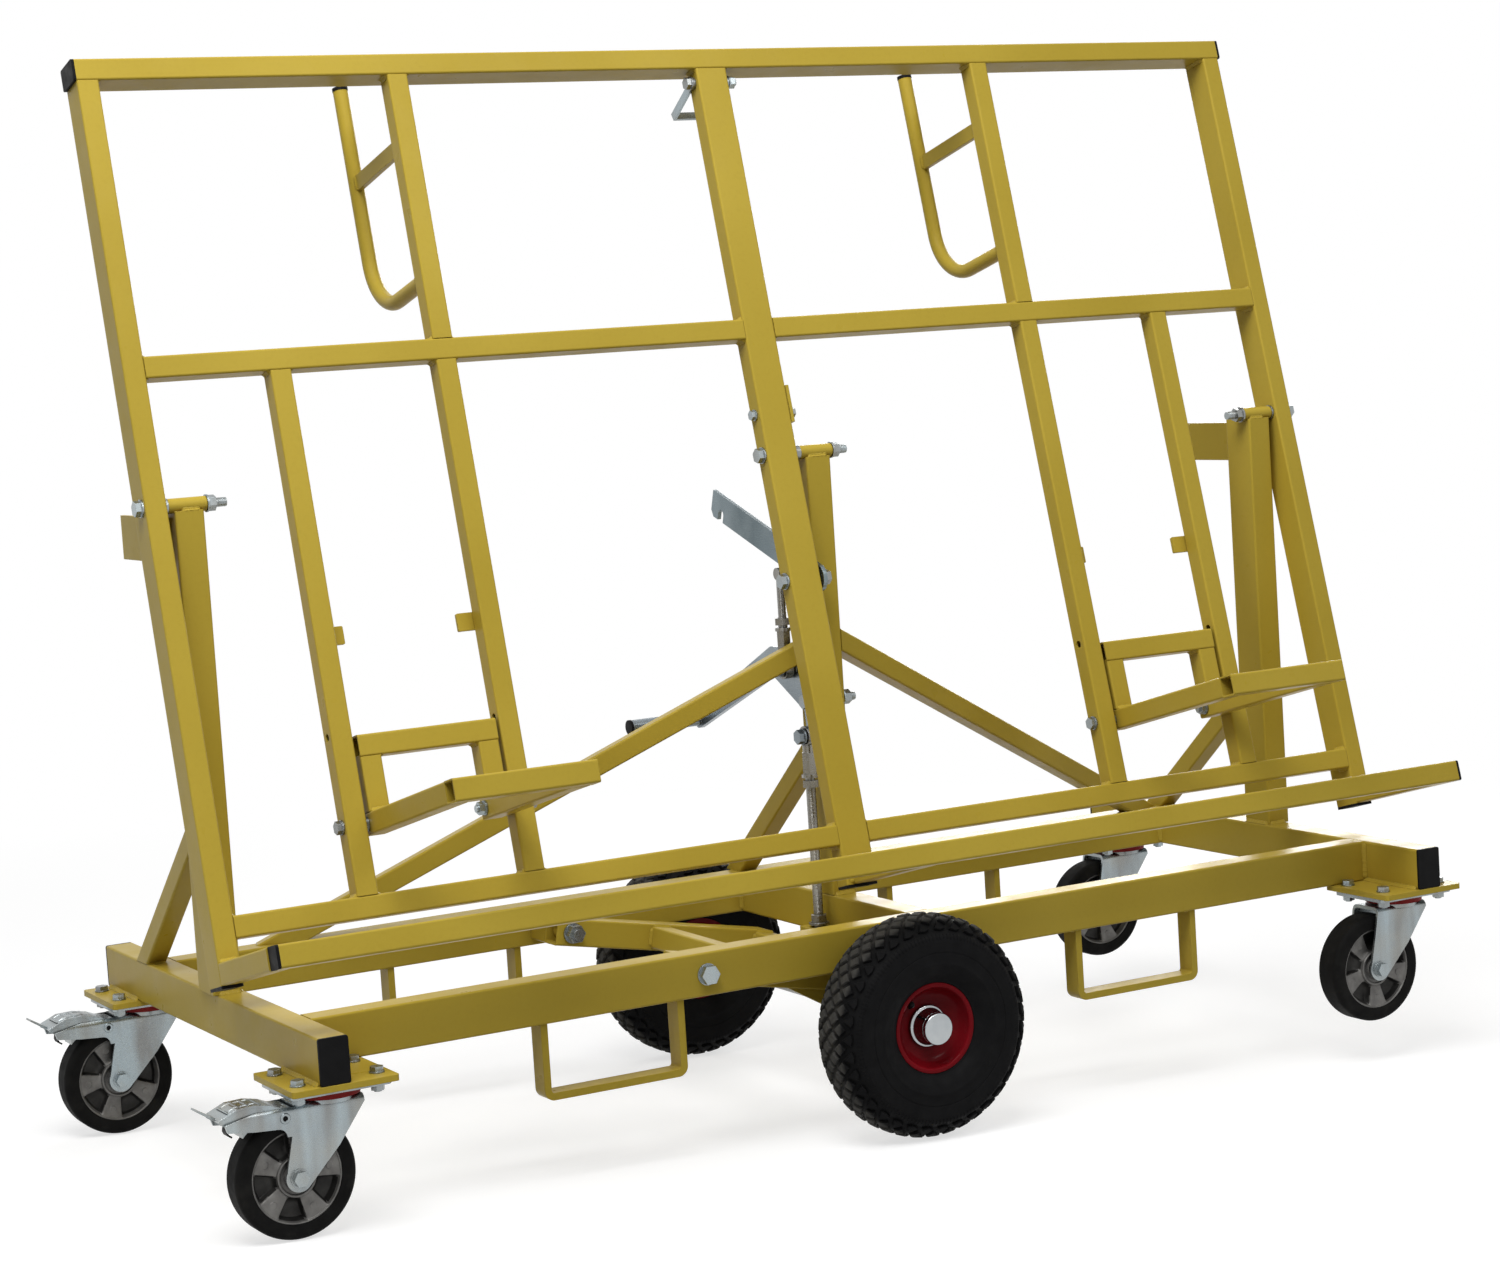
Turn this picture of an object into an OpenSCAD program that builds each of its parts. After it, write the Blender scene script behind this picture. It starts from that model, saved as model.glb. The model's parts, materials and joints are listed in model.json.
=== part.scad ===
// Drywall cart: a welded tube chassis on four casters, a board frame that tips about
// three posts, two fold-out supports and a pair of lowered pneumatic centre wheels.
// Millimetres. X runs along the cart, front is -Y, Z is up from under the centre wheels.

/* [Chassis] */
// Length over the two end beams
base_length = 1788; // [1700:2:1900]
// Length of each end beam across the cart
base_width = 834; // [780:2:880]
// Height of the beams, rails and cross member
beam_height = 60; // [50:1:70]
// Width of the beams, rails, cross member and posts
beam_width = 40; // [36:1:44]
// Wall of the chassis tubes
beam_wall = 3; // [2:0.5:4]
// Outside corner radius of every square tube
tube_round = 3; // [2:0.5:4]
// Front face of the front rail, in from the front ends of the beams
rail_set_front = 119; // [107:1:137]
// Rear face of the rear rail, in from the rear ends of the beams
rail_set_rear = 155; // [142:1:172]
// Depth of a post from front to rear
post_depth = 60; // [50:1:64]
// Left face of the middle post and of the cross member
middle_post_x = 56; // [52:1:62]
// Outside width of a fork loop
loop_width = 214; // [190:2:230]
// Depth of a fork loop below the rails
loop_depth = 104; // [80:2:116]
// Flat bar thickness of a fork loop
loop_bar = 10; // [8:1:12]
// Distance of each fork loop from the middle of the cart
loop_offset = 428; // [415:1:440]

/* [Board frame] */
// Reach of each side stile beyond the end beam under it
frame_overhang = 47; // [31:1:61]
// Lean of the board frame to the rear at rest, in degrees
frame_lean = 14; // [12:0.5:16]
// Height of the tipping pivot above the caster treads
pivot_height = 909; // [890:1:930]
// Tube face of the rails and of the inner stiles
frame_tube = 30; // [28:1:32]
// Depth of the side stiles and of the top rail
stile_depth = 50; // [46:1:54]
// Width of the centre stile
centre_width = 50; // [46:1:52]
// Frame length above the pivot
frame_above = 610; // [590:2:630]
// Height of the stile feet above the caster treads, measured along the stile
foot_clearance = 279; // [264:1:294]
// Top face of the mid rail above the pivot
mid_rail_top = 200; // [190:1:210]
// Reach of the ledge ahead of the frame face
ledge_reach = 217; // [205:1:225]
// Reach of a fold-out support ahead of the frame face
support_reach = 290; // [275:1:300]
// Fold-out support pivot above the stile feet
support_rise = 181; // [174:1:190]
// Reach of a push handle behind the inner stile
handle_reach = 178; // [160:1:185]
// Outside diameter of a push handle
handle_dia = 22; // [20:1:24]

/* [Centre wheels] */
// Outside diameter of a pneumatic tyre
wheel_dia = 310; // [300:2:316]
// Width of a pneumatic tyre
wheel_width = 95; // [88:1:98]
// How far the lowered centre wheels stand below the casters
wheel_drop = 34; // [28:1:36]
// Axle position along the cart
axle_x = 12; // [6:1:16]
// Swing arm pivot position along the cart
swing_x = -285; // [-295:1:-275]

/* [Casters] */
// Diameter of a caster wheel
caster_dia = 160; // [156:1:162]
// Height from the caster tread to its top plate
caster_height = 190; // [188:1:196]
// Distance of the caster axle behind its swivel axis
caster_trail = 55; // [50:1:57]
// Width of a caster tread
caster_width = 42; // [38:1:44]

/* [Lever] */
// Crank radius between the lever pivot and the lower rod
crank_radius = 50; // [46:1:52]
// Height of the lever pivot above the caster treads
lever_height = 546; // [540:1:552]
// Reach of the lever handle behind its pivot
lever_reach = 350; // [340:1:352]

/* [Hidden] */
$fn = 48;
e = 0.01;
// Gap left between pieces that move on each other, and the radial play of a pin in its bore
gap = 0.4;
fit = 0.05;

// Levels
tread_z = wheel_drop;
plate_t = 8;
beam_z = tread_z + caster_height + plate_t;
beam_top = beam_z + beam_height;
beam_mid = beam_z + beam_height / 2;
pivot_z = tread_z + pivot_height;
lever_z = tread_z + lever_height;
axle_z = wheel_dia / 2;

// Chassis places
half_base = base_length / 2;
half_width = base_width / 2;
half_frame = half_base + frame_overhang;
rail_front = half_width - rail_set_front;
rail_rear = half_width - rail_set_rear;
rail_front_in = -rail_front + beam_width;
rail_rear_in = rail_rear - beam_width;
pivot_y = -50;
post_front = pivot_y - 12;
post_rear = post_front + post_depth;
plate_size = 142;
caster_x = half_base - 33;
caster_y = half_width - 65;
tube_in = half_frame - frame_tube - 57;
tube_out = half_frame - frame_tube - 4;
post_out = tube_out - 7;
post_in = post_out - beam_width;
post_mid = (post_in + post_out) / 2;
middle_x1 = middle_post_x + beam_width;
boss_x0 = middle_post_x - 7;
boss_x1 = middle_x1 + 6;

// Board frame places, measured from the pivot: y to the rear, z up the stile
ft = frame_tube;
frame_below = pivot_height - foot_clearance;
support_drop = frame_below - support_rise;
face = -ft / 2;
half_ft = ft / 2;
stile_back = face + stile_depth;
centre_x0 = 40 - centre_width;
centre_x1 = 40;
inner_x = half_frame - 474;
outer_x = half_frame - 232;
low_rail = -frame_below + 57;
ledge_y = face - ledge_reach;
bolt_r = 6;
pin_r = 5;
cap_t = 4;
sup_x0 = inner_x + ft + 5;
sup_x1 = outer_x - 6;
sup_z = -support_drop;
sup_top = sup_z + 88;
stay_z = -186;
bail_z = frame_above - 48;
tilt_max = 90 - frame_lean;

// Lever and linkage, in the plane beside the middle post
lever_y = -50;
blade_x0 = middle_post_x - 14;
blade_x1 = blade_x0 + 8;
rod_x = blade_x0 - 8;
crank_y = lever_y - crank_radius * sin(5);
crank_z = lever_z - crank_radius * cos(5);
upper_y = lever_y + 48;
upper_z = lever_z + 46;
elbow = [102, 54];
grip_at = [lever_reach, -52];
grip_len = 118;

// Swing arm
arm_w = 40;
arm_h = 40;
arm_front_y = rail_front_in + 4;
arm_rear_y = rail_rear_in - 104;
arm_len = axle_x + 28 - swing_x;
arm_dip = atan2(beam_mid - axle_z - 49, axle_x - swing_x);
arm_at_rod = beam_mid - (rod_x - swing_x) * tan(arm_dip);
wheel_front_y = -rail_front - 14.5 - wheel_width / 2;
wheel_rear_y = rail_rear + 14.5 + wheel_width / 2;
lug_top = crank_z - 282;
rim_r = 57;
rim_w = 31;
hub_half = 36;

// Middle of the outer box, so that the part sits centred over its origin
pedal_reach = 175;
bolt_head = 2.5 + 19 * 0.42;
x_low = -caster_x - pedal_reach;
x_high = half_frame + bolt_head;
sup_front = support_reach - face - tube_round;
sup_under = support_drop + half_ft - tube_round;
y_low = pivot_y - sup_front * cos(frame_lean) - sup_under * sin(frame_lean) - tube_round;
y_high = caster_y + plate_size / 2;
home = [-(x_low + x_high) / 2, -(y_low + y_high) / 2, 0];

// Rounded rectangle about the origin
module rounded(w, h, r) {
    square([w - 2 * r, h], center = true);
    square([w, h - 2 * r], center = true);
    for (x = [-1, 1]) {
        for (y = [-1, 1]) {
            translate([x * (w / 2 - r), y * (h / 2 - r)]) circle(r, $fn = 24);
        }
    }
}

// Hollow tube standing on the origin
module tube(w, h, len, wall) {
    linear_extrude(len) {
        difference() {
            rounded(w, h, tube_round);
            rounded(w - 2 * wall, h - 2 * wall, tube_round / 2);
        }
    }
}

// Tube along X from x0 to x1 with its middle at y, z
module tube_x(x0, x1, y, z, w, h, wall = 2.5) {
    translate([x0, y, z]) rotate([90, 0, 90]) tube(w, h, x1 - x0, wall);
}

// Tube along Y from y0 to y1 with its middle at x, z
module tube_y(y0, y1, x, z, w, h, wall = 2.5) {
    translate([x, y0, z]) rotate([-90, 0, 0]) tube(w, h, y1 - y0, wall);
}

// Tube along Z from z0 to z1 with its middle at x, y
module tube_z(z0, z1, x, y, w, h, wall = 2.5) {
    translate([x, y, z0]) tube(w, h, z1 - z0, wall);
}

// Round bar along X
module bar_x(x0, x1, y, z, r) {
    translate([x0, y, z]) rotate([0, 90, 0]) cylinder(r = r, h = x1 - x0);
}

// Round bar along Y
module bar_y(y0, y1, x, z, r) {
    translate([x, y0, z]) rotate([-90, 0, 0]) cylinder(r = r, h = y1 - y0);
}

// Hexagon along X, size across the flats
module hex_x(x0, x1, y, z, flats) {
    translate([x0, y, z]) rotate([0, 90, 0]) cylinder(r = flats / sqrt(3), h = x1 - x0, $fn = 6);
}

// Hexagon along Z
module hex_z(z0, z1, x, y, flats) {
    translate([x, y, z0]) cylinder(r = flats / sqrt(3), h = z1 - z0, $fn = 6);
}

// Box given by its two corners
module box(a, b) {
    translate(a) cube(b - a);
}

// Places a piece drawn in the board frame onto the leaning frame
module on_frame() {
    translate(home + [0, pivot_y, pivot_z]) rotate([-frame_lean, 0, 0]) children();
}

// Places a piece drawn in the chassis
module on_base() {
    translate(home) children();
}

// End beams that carry the casters
module end_beams() {
    color("goldenrod") on_base() {
        for (s = [-1, 1]) {
            tube_y(-half_width, half_width, s * (half_base - beam_width / 2), beam_mid,
                beam_width, beam_height, beam_wall);
        }
    }
}

// Front and rear rails between the beams, bored for the swing arm bolts
module long_rails() {
    color("goldenrod") on_base() {
        difference() {
            for (y = [-rail_front + beam_width / 2, rail_rear - beam_width / 2]) {
                tube_x(-half_base + beam_width, half_base - beam_width, y, beam_mid,
                    beam_width, beam_height, beam_wall);
            }
            bar_y(-rail_front - 1, rail_rear + 1, swing_x, beam_mid, 8 + fit);
        }
    }
}

// Cross member under the middle post
module cross_member() {
    color("goldenrod") on_base() {
        tube_y(rail_front_in, rail_rear_in, (middle_post_x + middle_x1) / 2, beam_mid,
            beam_width, beam_height, beam_wall);
    }
}

// One flat bar loop with rounded lower corners, drawn in the XZ plane
module loop_shape() {
    r = 14;
    half = loop_width / 2;
    difference() {
        union() {
            translate([-half, -loop_depth + r]) square([loop_width, loop_depth - r]);
            translate([-half + r, -loop_depth]) square([loop_width - 2 * r, r + 1]);
            for (s = [-1, 1]) {
                translate([s * (half - r), -loop_depth + r]) circle(r);
            }
        }
        translate([-half + loop_bar, -loop_depth + loop_bar + 4])
            square([loop_width - 2 * loop_bar, loop_depth]);
        translate([-half + loop_bar + 4, -loop_depth + loop_bar])
            square([loop_width - 2 * loop_bar - 8, 6]);
        for (s = [-1, 1]) {
            translate([s * (half - loop_bar - 4), -loop_depth + loop_bar + 4]) circle(4);
        }
    }
}

// Four loops under the rails that take the tines of a fork lift
module fork_loops() {
    color("goldenrod") on_base() {
        for (x = [-loop_offset, loop_offset]) {
            for (y = [-rail_front + beam_width / 2, rail_rear - beam_width / 2]) {
                translate([x, y + 15, beam_z]) rotate([90, 0, 0]) linear_extrude(30) loop_shape();
            }
        }
    }
}

// Bolt places on a caster plate
bolt_dx = 105;
bolt_dy = 80;

// Caster corners of the chassis
module at_casters() {
    for (x = [-caster_x, caster_x]) {
        for (y = [-caster_y, caster_y]) {
            translate([x, y, 0]) children();
        }
    }
}

// Bolt places around a swivel axis
module at_plate_bolts() {
    for (x = [-bolt_dx / 2, bolt_dx / 2]) {
        for (y = [-bolt_dy / 2, bolt_dy / 2]) {
            translate([x, y, 0]) children();
        }
    }
}

// Square plates welded under the beam ends, bored for the caster bolts
module caster_plates() {
    color("goldenrod") on_base() at_casters() {
        difference() {
            translate([0, 0, beam_z - plate_t]) linear_extrude(plate_t)
                rounded(plate_size, plate_size, 5);
            at_plate_bolts() translate([0, 0, beam_z - plate_t - 1])
                cylinder(r = 5 + fit, h = plate_t + 2);
        }
    }
}

// Push-in caps on the four beam ends
module beam_caps() {
    color("black") on_base() {
        for (sx = [-1, 1]) {
            for (sy = [-1, 1]) {
                translate([sx * (half_base - beam_width / 2), sy * half_width, beam_mid])
                    rotate([-90 * sy, 0, 0]) {
                        linear_extrude(cap_t) rounded(beam_width, beam_height, tube_round);
                        translate([0, 0, -16]) linear_extrude(16)
                            rounded(beam_width - 2 * beam_wall, beam_height - 2 * beam_wall, 2);
                    }
            }
        }
    }
}

// A closed post with the bearing tube for the tipping bolt across its top
module post(x0, x1, b0, b1) {
    difference() {
        union() {
            tube_z(beam_top, pivot_z - 7, (x0 + x1) / 2, (post_front + post_rear) / 2,
                x1 - x0, post_depth, beam_wall);
            translate([(x0 + x1) / 2, (post_front + post_rear) / 2, pivot_z - 10]) linear_extrude(3)
                rounded(x1 - x0 - 2, post_depth - 2, tube_round - 1);
            bar_x(b0, b1, pivot_y, pivot_z, 10);
        }
        bar_x(b0 - 1, b1 + 1, pivot_y, pivot_z, bolt_r + fit);
    }
}

// Left, middle and right posts
module posts() {
    color("goldenrod") on_base() {
        post(-post_out, -post_in, -tube_out, -tube_in);
        difference() {
            post(middle_post_x, middle_x1, boss_x0, boss_x1);
            bar_x(middle_post_x - 1, middle_x1 + 1, lever_y, lever_z, 6 + fit);
        }
        post(post_in, post_out, tube_in, tube_out);
    }
}

// Plates on the outer posts that the mid rail lies on when the frame is tipped level
module stop_plates() {
    top = pivot_z - half_ft - gap;
    color("goldenrod") on_base() {
        box([-post_out - 6, post_front + 30, top - 60], [-post_out, pivot_y + mid_rail_top, top]);
        box([post_out, post_front + 30, top - 60], [post_out + 6, pivot_y + mid_rail_top, top]);
    }
}

// Sloping stays behind the three posts, cut to the post and to the chassis
module post_braces() {
    foot_y = rail_rear - 8;
    head_z = beam_top + 212;
    run = foot_y - post_rear;
    rise = head_z - beam_top;
    len = sqrt(run * run + rise * rise);
    color("goldenrod") on_base() {
        for (x = [-post_mid, (middle_post_x + middle_x1) / 2, post_mid]) {
            difference() {
                translate([x, post_rear, head_z]) rotate([-atan2(run, -rise), 0, 0])
                    translate([0, 0, -40]) tube(ft, ft, len + 80, 2.5);
                box([x - 50, post_rear - 200, head_z - 200], [x + 50, post_rear, head_z + 200]);
                box([x - 50, post_rear - 10, beam_top - 100], [x + 50, foot_y + 200, beam_top]);
            }
        }
    }
}

// Long diagonal stays from the middle post out to the rear rail
module long_brace(s, x0, run_x) {
    y0 = post_front + 16;
    run_y = rail_rear - beam_width / 2 - y0;
    z0 = lever_z + 83;
    drop = z0 - beam_top;
    flat = sqrt(run_x * run_x + run_y * run_y);
    len = sqrt(flat * flat + drop * drop);
    difference() {
        translate([x0, y0, z0]) rotate([0, 0, atan2(run_y, s * run_x)])
            rotate([0, 90 + atan2(drop, flat), 0]) translate([0, 0, -50])
                tube(ft, ft, len + 120, 2.5);
        box([x0 - 100 * s - 100, y0 - 150, z0 - 200], [x0 - 100 * s + 100, y0 + 150, z0 + 200]);
        box([-half_base - 200, rail_rear_in - 200, beam_top - 150],
            [half_base + 200, rail_rear + 200, beam_top]);
    }
}

// Both long stays
module long_braces() {
    color("goldenrod") on_base() {
        long_brace(-1, middle_post_x, half_base - 148);
        long_brace(1, middle_x1, half_base - 166);
    }
}

// Hexagon bolts through the caster plates with their nuts below
module caster_bolts() {
    color("silver") on_base() at_casters() at_plate_bolts() {
        translate([0, 0, beam_z]) cylinder(r = 10, h = 2);
        hex_z(beam_z + 2, beam_z + 8, 0, 0, 16);
        translate([0, 0, beam_z - plate_t - 16]) cylinder(r = 5, h = plate_t + 18);
        hex_z(beam_z - plate_t - 14, beam_z - plate_t - 6, 0, 0, 16);
    }
}

// Caster top plates with the fixed half of the swivel race
module caster_heads() {
    z = tread_z + caster_height;
    color("silver") on_base() at_casters() {
        difference() {
            union() {
                translate([0, 0, z - 6]) linear_extrude(6) rounded(135, 110, 8);
                translate([0, 0, z - 12]) cylinder(r = 34, h = 6 + e);
                translate([0, 0, z - 33]) cylinder(r = 8, h = 23);
                hex_z(z - 31, z - 23.4, 0, 0, 22);
            }
            at_plate_bolts() translate([0, 0, z - 7]) cylinder(r = 5 + fit, h = 8);
        }
    }
}

// Plastic dust rings over the swivel races
module caster_seals() {
    z = tread_z + caster_height;
    color("firebrick") on_base() at_casters() {
        difference() {
            translate([0, 0, z - 16]) cylinder(r = 42, h = 10);
            translate([0, 0, z - 17]) cylinder(r = 35, h = 9);
            translate([0, 0, z - 9]) cylinder(r = 34 + fit, h = 4);
        }
    }
}

// Hexagon along Y, size across the flats
module hex_y(y0, y1, x, z, flats) {
    translate([x, y0, z]) rotate([-90, 0, 0]) cylinder(r = flats / sqrt(3), h = y1 - y0, $fn = 6);
}

// Bolts that carry the swing arm on the rails
module swing_bolts() {
    color("silver") on_base() {
        y0 = -rail_front;
        y1 = arm_front_y + arm_w;
        bar_y(y0 - 2, y1 + 20, swing_x, beam_mid, 8);
        hex_y(y0 - 12, y0 - 2, swing_x, beam_mid, 24);
        bar_y(y0 - 2, y0, swing_x, beam_mid, 15);
        hex_y(y1 + gap, y1 + gap + 13, swing_x, beam_mid, 24);
        y2 = rail_rear;
        y3 = arm_rear_y;
        bar_y(y3 - 22, y2 + 2, swing_x, beam_mid, 8);
        hex_y(y2 + 2, y2 + 12, swing_x, beam_mid, 24);
        bar_y(y2, y2 + 2, swing_x, beam_mid, 15);
        bar_y(y3 - gap - 3, y3 - gap, swing_x, beam_mid, 15);
        hex_y(y3 - gap - 16, y3 - gap - 3, swing_x, beam_mid, 24);
    }
}

// Distance piece between the rear rail and the rear swing arm
module pivot_stub() {
    color("goldenrod") on_base() {
        difference() {
            tube_y(arm_rear_y + arm_w + 4, rail_rear_in, swing_x, beam_mid, 40, 40, beam_wall);
            bar_y(arm_rear_y + arm_w, rail_rear_in + 1, swing_x, beam_mid, 8 + fit);
        }
        difference() {
            bar_y(arm_rear_y + arm_w + 4, rail_rear_in, swing_x, beam_mid, 18);
            bar_y(arm_rear_y + arm_w, rail_rear_in + 1, swing_x, beam_mid, 8 + fit);
        }
    }
}

// Bolt through the middle post that the hand lever turns on
module lever_bolt() {
    color("silver") on_base() {
        bar_x(blade_x0 - 4, middle_x1 + 22, lever_y, lever_z, 6);
        hex_x(blade_x0 - 12, blade_x0 - 3, lever_y, lever_z, 19);
        bar_x(blade_x0 - 3, blade_x0 - gap, lever_y, lever_z, 12);
        bar_x(blade_x1 + gap, middle_post_x, lever_y, lever_z, 11);
        bar_x(middle_x1, middle_x1 + 2.5, lever_y, lever_z, 12);
        hex_x(middle_x1 + 2.5, middle_x1 + 13, lever_y, lever_z, 19);
    }
}

// Top rail over the stiles
module top_rail() {
    color("goldenrod") on_frame() {
        tube_x(-half_frame, half_frame, face + stile_depth / 2, frame_above - half_ft, stile_depth, ft);
    }
}

// Bore lines shared by the stiles
module tilt_bores() {
    bar_x(-half_frame - 5, half_frame + 5, 0, 0, bolt_r + fit);
}

// Outer stiles that hang on the posts
module side_stiles() {
    color("goldenrod") on_frame() {
        difference() {
            for (s = [-1, 1]) {
                tube_z(-frame_below, frame_above - ft, s * (half_frame - half_ft),
                    face + stile_depth / 2, ft, stile_depth);
            }
            tilt_bores();
        }
    }
}

// Wide stile beside the middle post
module centre_stile() {
    color("goldenrod") on_frame() {
        difference() {
            tube_z(-frame_below, frame_above - ft, (centre_x0 + centre_x1) / 2, 0, centre_width, ft);
            tilt_bores();
            bar_x(centre_x0 - 5, centre_x1 + 5, 0, stay_z, bolt_r + fit);
            bar_x(centre_x0 - 5, centre_x1 + 5, 0, bail_z, pin_r + fit);
            bar_x(centre_x0 - 5, centre_x1 + 5, 0, 60, 4 + fit);
        }
    }
}

// Halves of the mid rail and of the lower rail
module cross_rails() {
    color("goldenrod") on_frame() {
        for (z = [mid_rail_top - half_ft, low_rail + half_ft]) {
            tube_x(-half_frame + ft, centre_x0, 0, z, ft, ft);
            tube_x(centre_x1, half_frame - ft, 0, z, ft, ft);
        }
    }
}

// Short upper stiles and the four lower stiles, bored for the support bolts
module inner_stiles() {
    mid_under = mid_rail_top - ft;
    low_over = low_rail + ft;
    color("goldenrod") on_frame() {
        for (s = [-1, 1]) {
            tube_z(mid_rail_top, frame_above - ft, s * (inner_x + half_ft), 0, ft, ft);
            difference() {
                union() {
                    tube_z(low_over, mid_under, s * (inner_x + half_ft), 0, ft, ft);
                    tube_z(low_over, mid_under, s * (outer_x + half_ft), 0, ft, ft);
                }
                bar_x(-half_frame, half_frame, 0, sup_z, pin_r + fit);
                bar_x(-half_frame, half_frame, 0, sup_z + 120, pin_r + 0.5);
            }
        }
    }
}

// Ledge that the boards stand on
module ledge_rail() {
    color("goldenrod") on_frame() {
        tube_x(-half_frame + 6, half_frame - 6, ledge_y + half_ft, -frame_below + half_ft, ft, ft);
    }
}

// Arms from the stile feet out to the ledge
module ledge_arms() {
    color("goldenrod") on_frame() {
        for (x = [-half_frame + half_ft, (centre_x0 + centre_x1) / 2, half_frame - half_ft]) {
            tube_y(ledge_y + ft, face, x, -frame_below + half_ft, ft, ft);
        }
    }
}

// Plug with a flat head that closes a square tube, pointing along Z
module square_cap(w, h) {
    linear_extrude(cap_t) rounded(w, h, tube_round);
    translate([0, 0, -14]) linear_extrude(14) rounded(w - 5, h - 5, 2);
}

// Caps on the top rail, on the stile feet and on the ledge, and plugs in the push handles
module frame_caps() {
    color("black") on_frame() {
        for (s = [-1, 1]) {
            translate([s * half_frame, face + stile_depth / 2, frame_above - half_ft])
                rotate([0, 90 * s, 0]) square_cap(ft, stile_depth);
            translate([s * (half_frame - half_ft), face + stile_depth / 2, -frame_below])
                rotate([180, 0, 0]) square_cap(ft, stile_depth);
            translate([s * (half_frame - 6), ledge_y + half_ft, -frame_below + half_ft])
                rotate([0, 90 * s, 0]) square_cap(ft, ft);
            translate([s * (inner_x + half_ft), half_ft + handle_reach, frame_above + 18]) {
                cylinder(r = handle_dia / 2 + 0.5, h = 5);
                translate([0, 0, -12]) cylinder(r = handle_dia / 2 - 2, h = 13);
            }
        }
        translate([(centre_x0 + centre_x1) / 2, 0, -frame_below]) rotate([180, 0, 0])
            square_cap(centre_width, ft);
    }
}

// One bent push handle behind an inner stile, with its flat stay
module push_handle(x) {
    r = handle_dia / 2;
    bend = 80;
    leg_y = half_ft + handle_reach;
    foot_z = mid_rail_top + 90;
    stay_top = frame_above - 113;
    difference() {
        union() {
            translate([x, leg_y, foot_z + bend]) cylinder(r = r, h = frame_above + 18 - foot_z - bend);
            bar_y(half_ft, leg_y - bend, x, foot_z, r);
            intersection() {
                translate([x, leg_y - bend, foot_z + bend]) rotate([0, 90, 0])
                    rotate_extrude() translate([bend, 0]) circle(r);
                box([x - 2 * r, leg_y - bend, foot_z - 2 * r],
                    [x + 2 * r, leg_y + 2 * r, foot_z + bend]);
            }
        }
        translate([x, leg_y, foot_z + bend]) cylinder(r = r - 2, h = frame_above);
    }
    box([x - 4, half_ft, stay_top - 22], [x + 4, leg_y - r + 3, stay_top]);
}

// Both push handles
module push_handles() {
    color("goldenrod") on_frame() {
        for (s = [-1, 1]) {
            push_handle(s * (inner_x + half_ft));
        }
    }
}

// Tabs behind the lower stiles that the folded supports lean on, and the small bolted plate
module stop_tabs() {
    color("goldenrod") on_frame() {
        for (s = [-1, 1]) {
            for (x = [inner_x + 29, outer_x + 1]) {
                translate([s * x, half_ft + 5, sup_z + 257]) rotate([90, 0, 0])
                    linear_extrude(5) rounded(48, 25, 2);
            }
        }
        difference() {
            box([centre_x1, face, 43], [centre_x1 + 5, 6, 98]);
            bar_x(centre_x1 - 1, centre_x1 + 6, 0, 60, 4 + fit);
        }
    }
}

// A hexagon bolt along +X: head at x0, nut inner face at x1, plain shank r
module bolt_x(x0, x1, z, r, flats, tail) {
    bar_x(x0 - 2.5, x1 + tail, 0, z, r);
    bar_x(x0 - 2.5, x0, 0, z, flats * 0.63);
    hex_x(x0 - 2.5 - flats * 0.42, x0 - 2.5, 0, z, flats);
    bar_x(x1, x1 + 2.5, 0, z, flats * 0.63);
    hex_x(x1 + 2.5, x1 + 2.5 + flats * 0.52, 0, z, flats);
}

// Three bolts that the board frame tips on
module tilt_bolts() {
    color("silver") on_frame() {
        bolt_x(-half_frame, -tube_in + gap, 0, bolt_r, 19, 28);
        bar_x(-half_frame + ft, -tube_out - gap, 0, 0, 11);
        mirror([1, 0, 0]) {
            bolt_x(-half_frame, -tube_in + gap, 0, bolt_r, 19, 28);
            bar_x(-half_frame + ft, -tube_out - gap, 0, 0, 11);
        }
        bolt_x(centre_x0, boss_x1 + gap, 0, bolt_r, 19, 26);
        bar_x(centre_x1, boss_x0 - gap, 0, 0, 11);
    }
}

// Four bolts that the fold-out supports turn on, with distance washers
module support_bolts() {
    color("silver") on_frame() {
        for (m = [0, 1]) {
            mirror([m, 0, 0]) {
                bolt_x(-outer_x - ft, -sup_x1 + ft + gap, sup_z, pin_r, 16, 14);
                bar_x(-outer_x, -sup_x1 - gap, 0, sup_z, 10);
                mirror([1, 0, 0]) bolt_x(inner_x, sup_x0 + ft + gap, sup_z, pin_r, 16, 14);
                bar_x(-sup_x0 + gap, -inner_x - ft, 0, sup_z, 10);
            }
        }
    }
}

// Bolts across the centre stile for the bail, the stay bar and the small plate
module latch_bolts() {
    color("silver") on_frame() {
        bolt_x(centre_x0 - 5, centre_x1 + 5, bail_z, pin_r, 16, 14);
        bolt_x(centre_x0, blade_x0 + 6 + gap, stay_z, bolt_r, 19, 14);
        bolt_x(centre_x0, centre_x1 + 5, 60, 4, 13, 9);
    }
}

// A fold-out support: back frame, two arms and an open-ended front bar
module support() {
    color("goldenrod") on_frame() {
        difference() {
            union() {
                tube_x(sup_x0, sup_x1, 0, sup_top + half_ft, ft, ft);
                for (x = [sup_x0 + half_ft, sup_x1 - half_ft]) {
                    tube_z(sup_z + half_ft, sup_top, x, 0, ft, ft);
                    difference() {
                        tube_y(face - support_reach + ft, half_ft, x, sup_z, ft, ft);
                        bar_x(x - ft, x + ft, 0, sup_z, pin_r + fit);
                    }
                    difference() {
                        bar_x(x - half_ft + 2, x + half_ft - 2, 0, sup_z, pin_r + 4);
                        bar_x(x - ft, x + ft, 0, sup_z, pin_r + fit);
                    }
                }
            }
        }
        tube_x(sup_x0, sup_x1, face - support_reach + half_ft, sup_z, ft, ft);
    }
}

// Left fold-out support
module support_left() {
    mirror_home() support();
}

// Right fold-out support
module support_right() {
    support();
}

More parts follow.
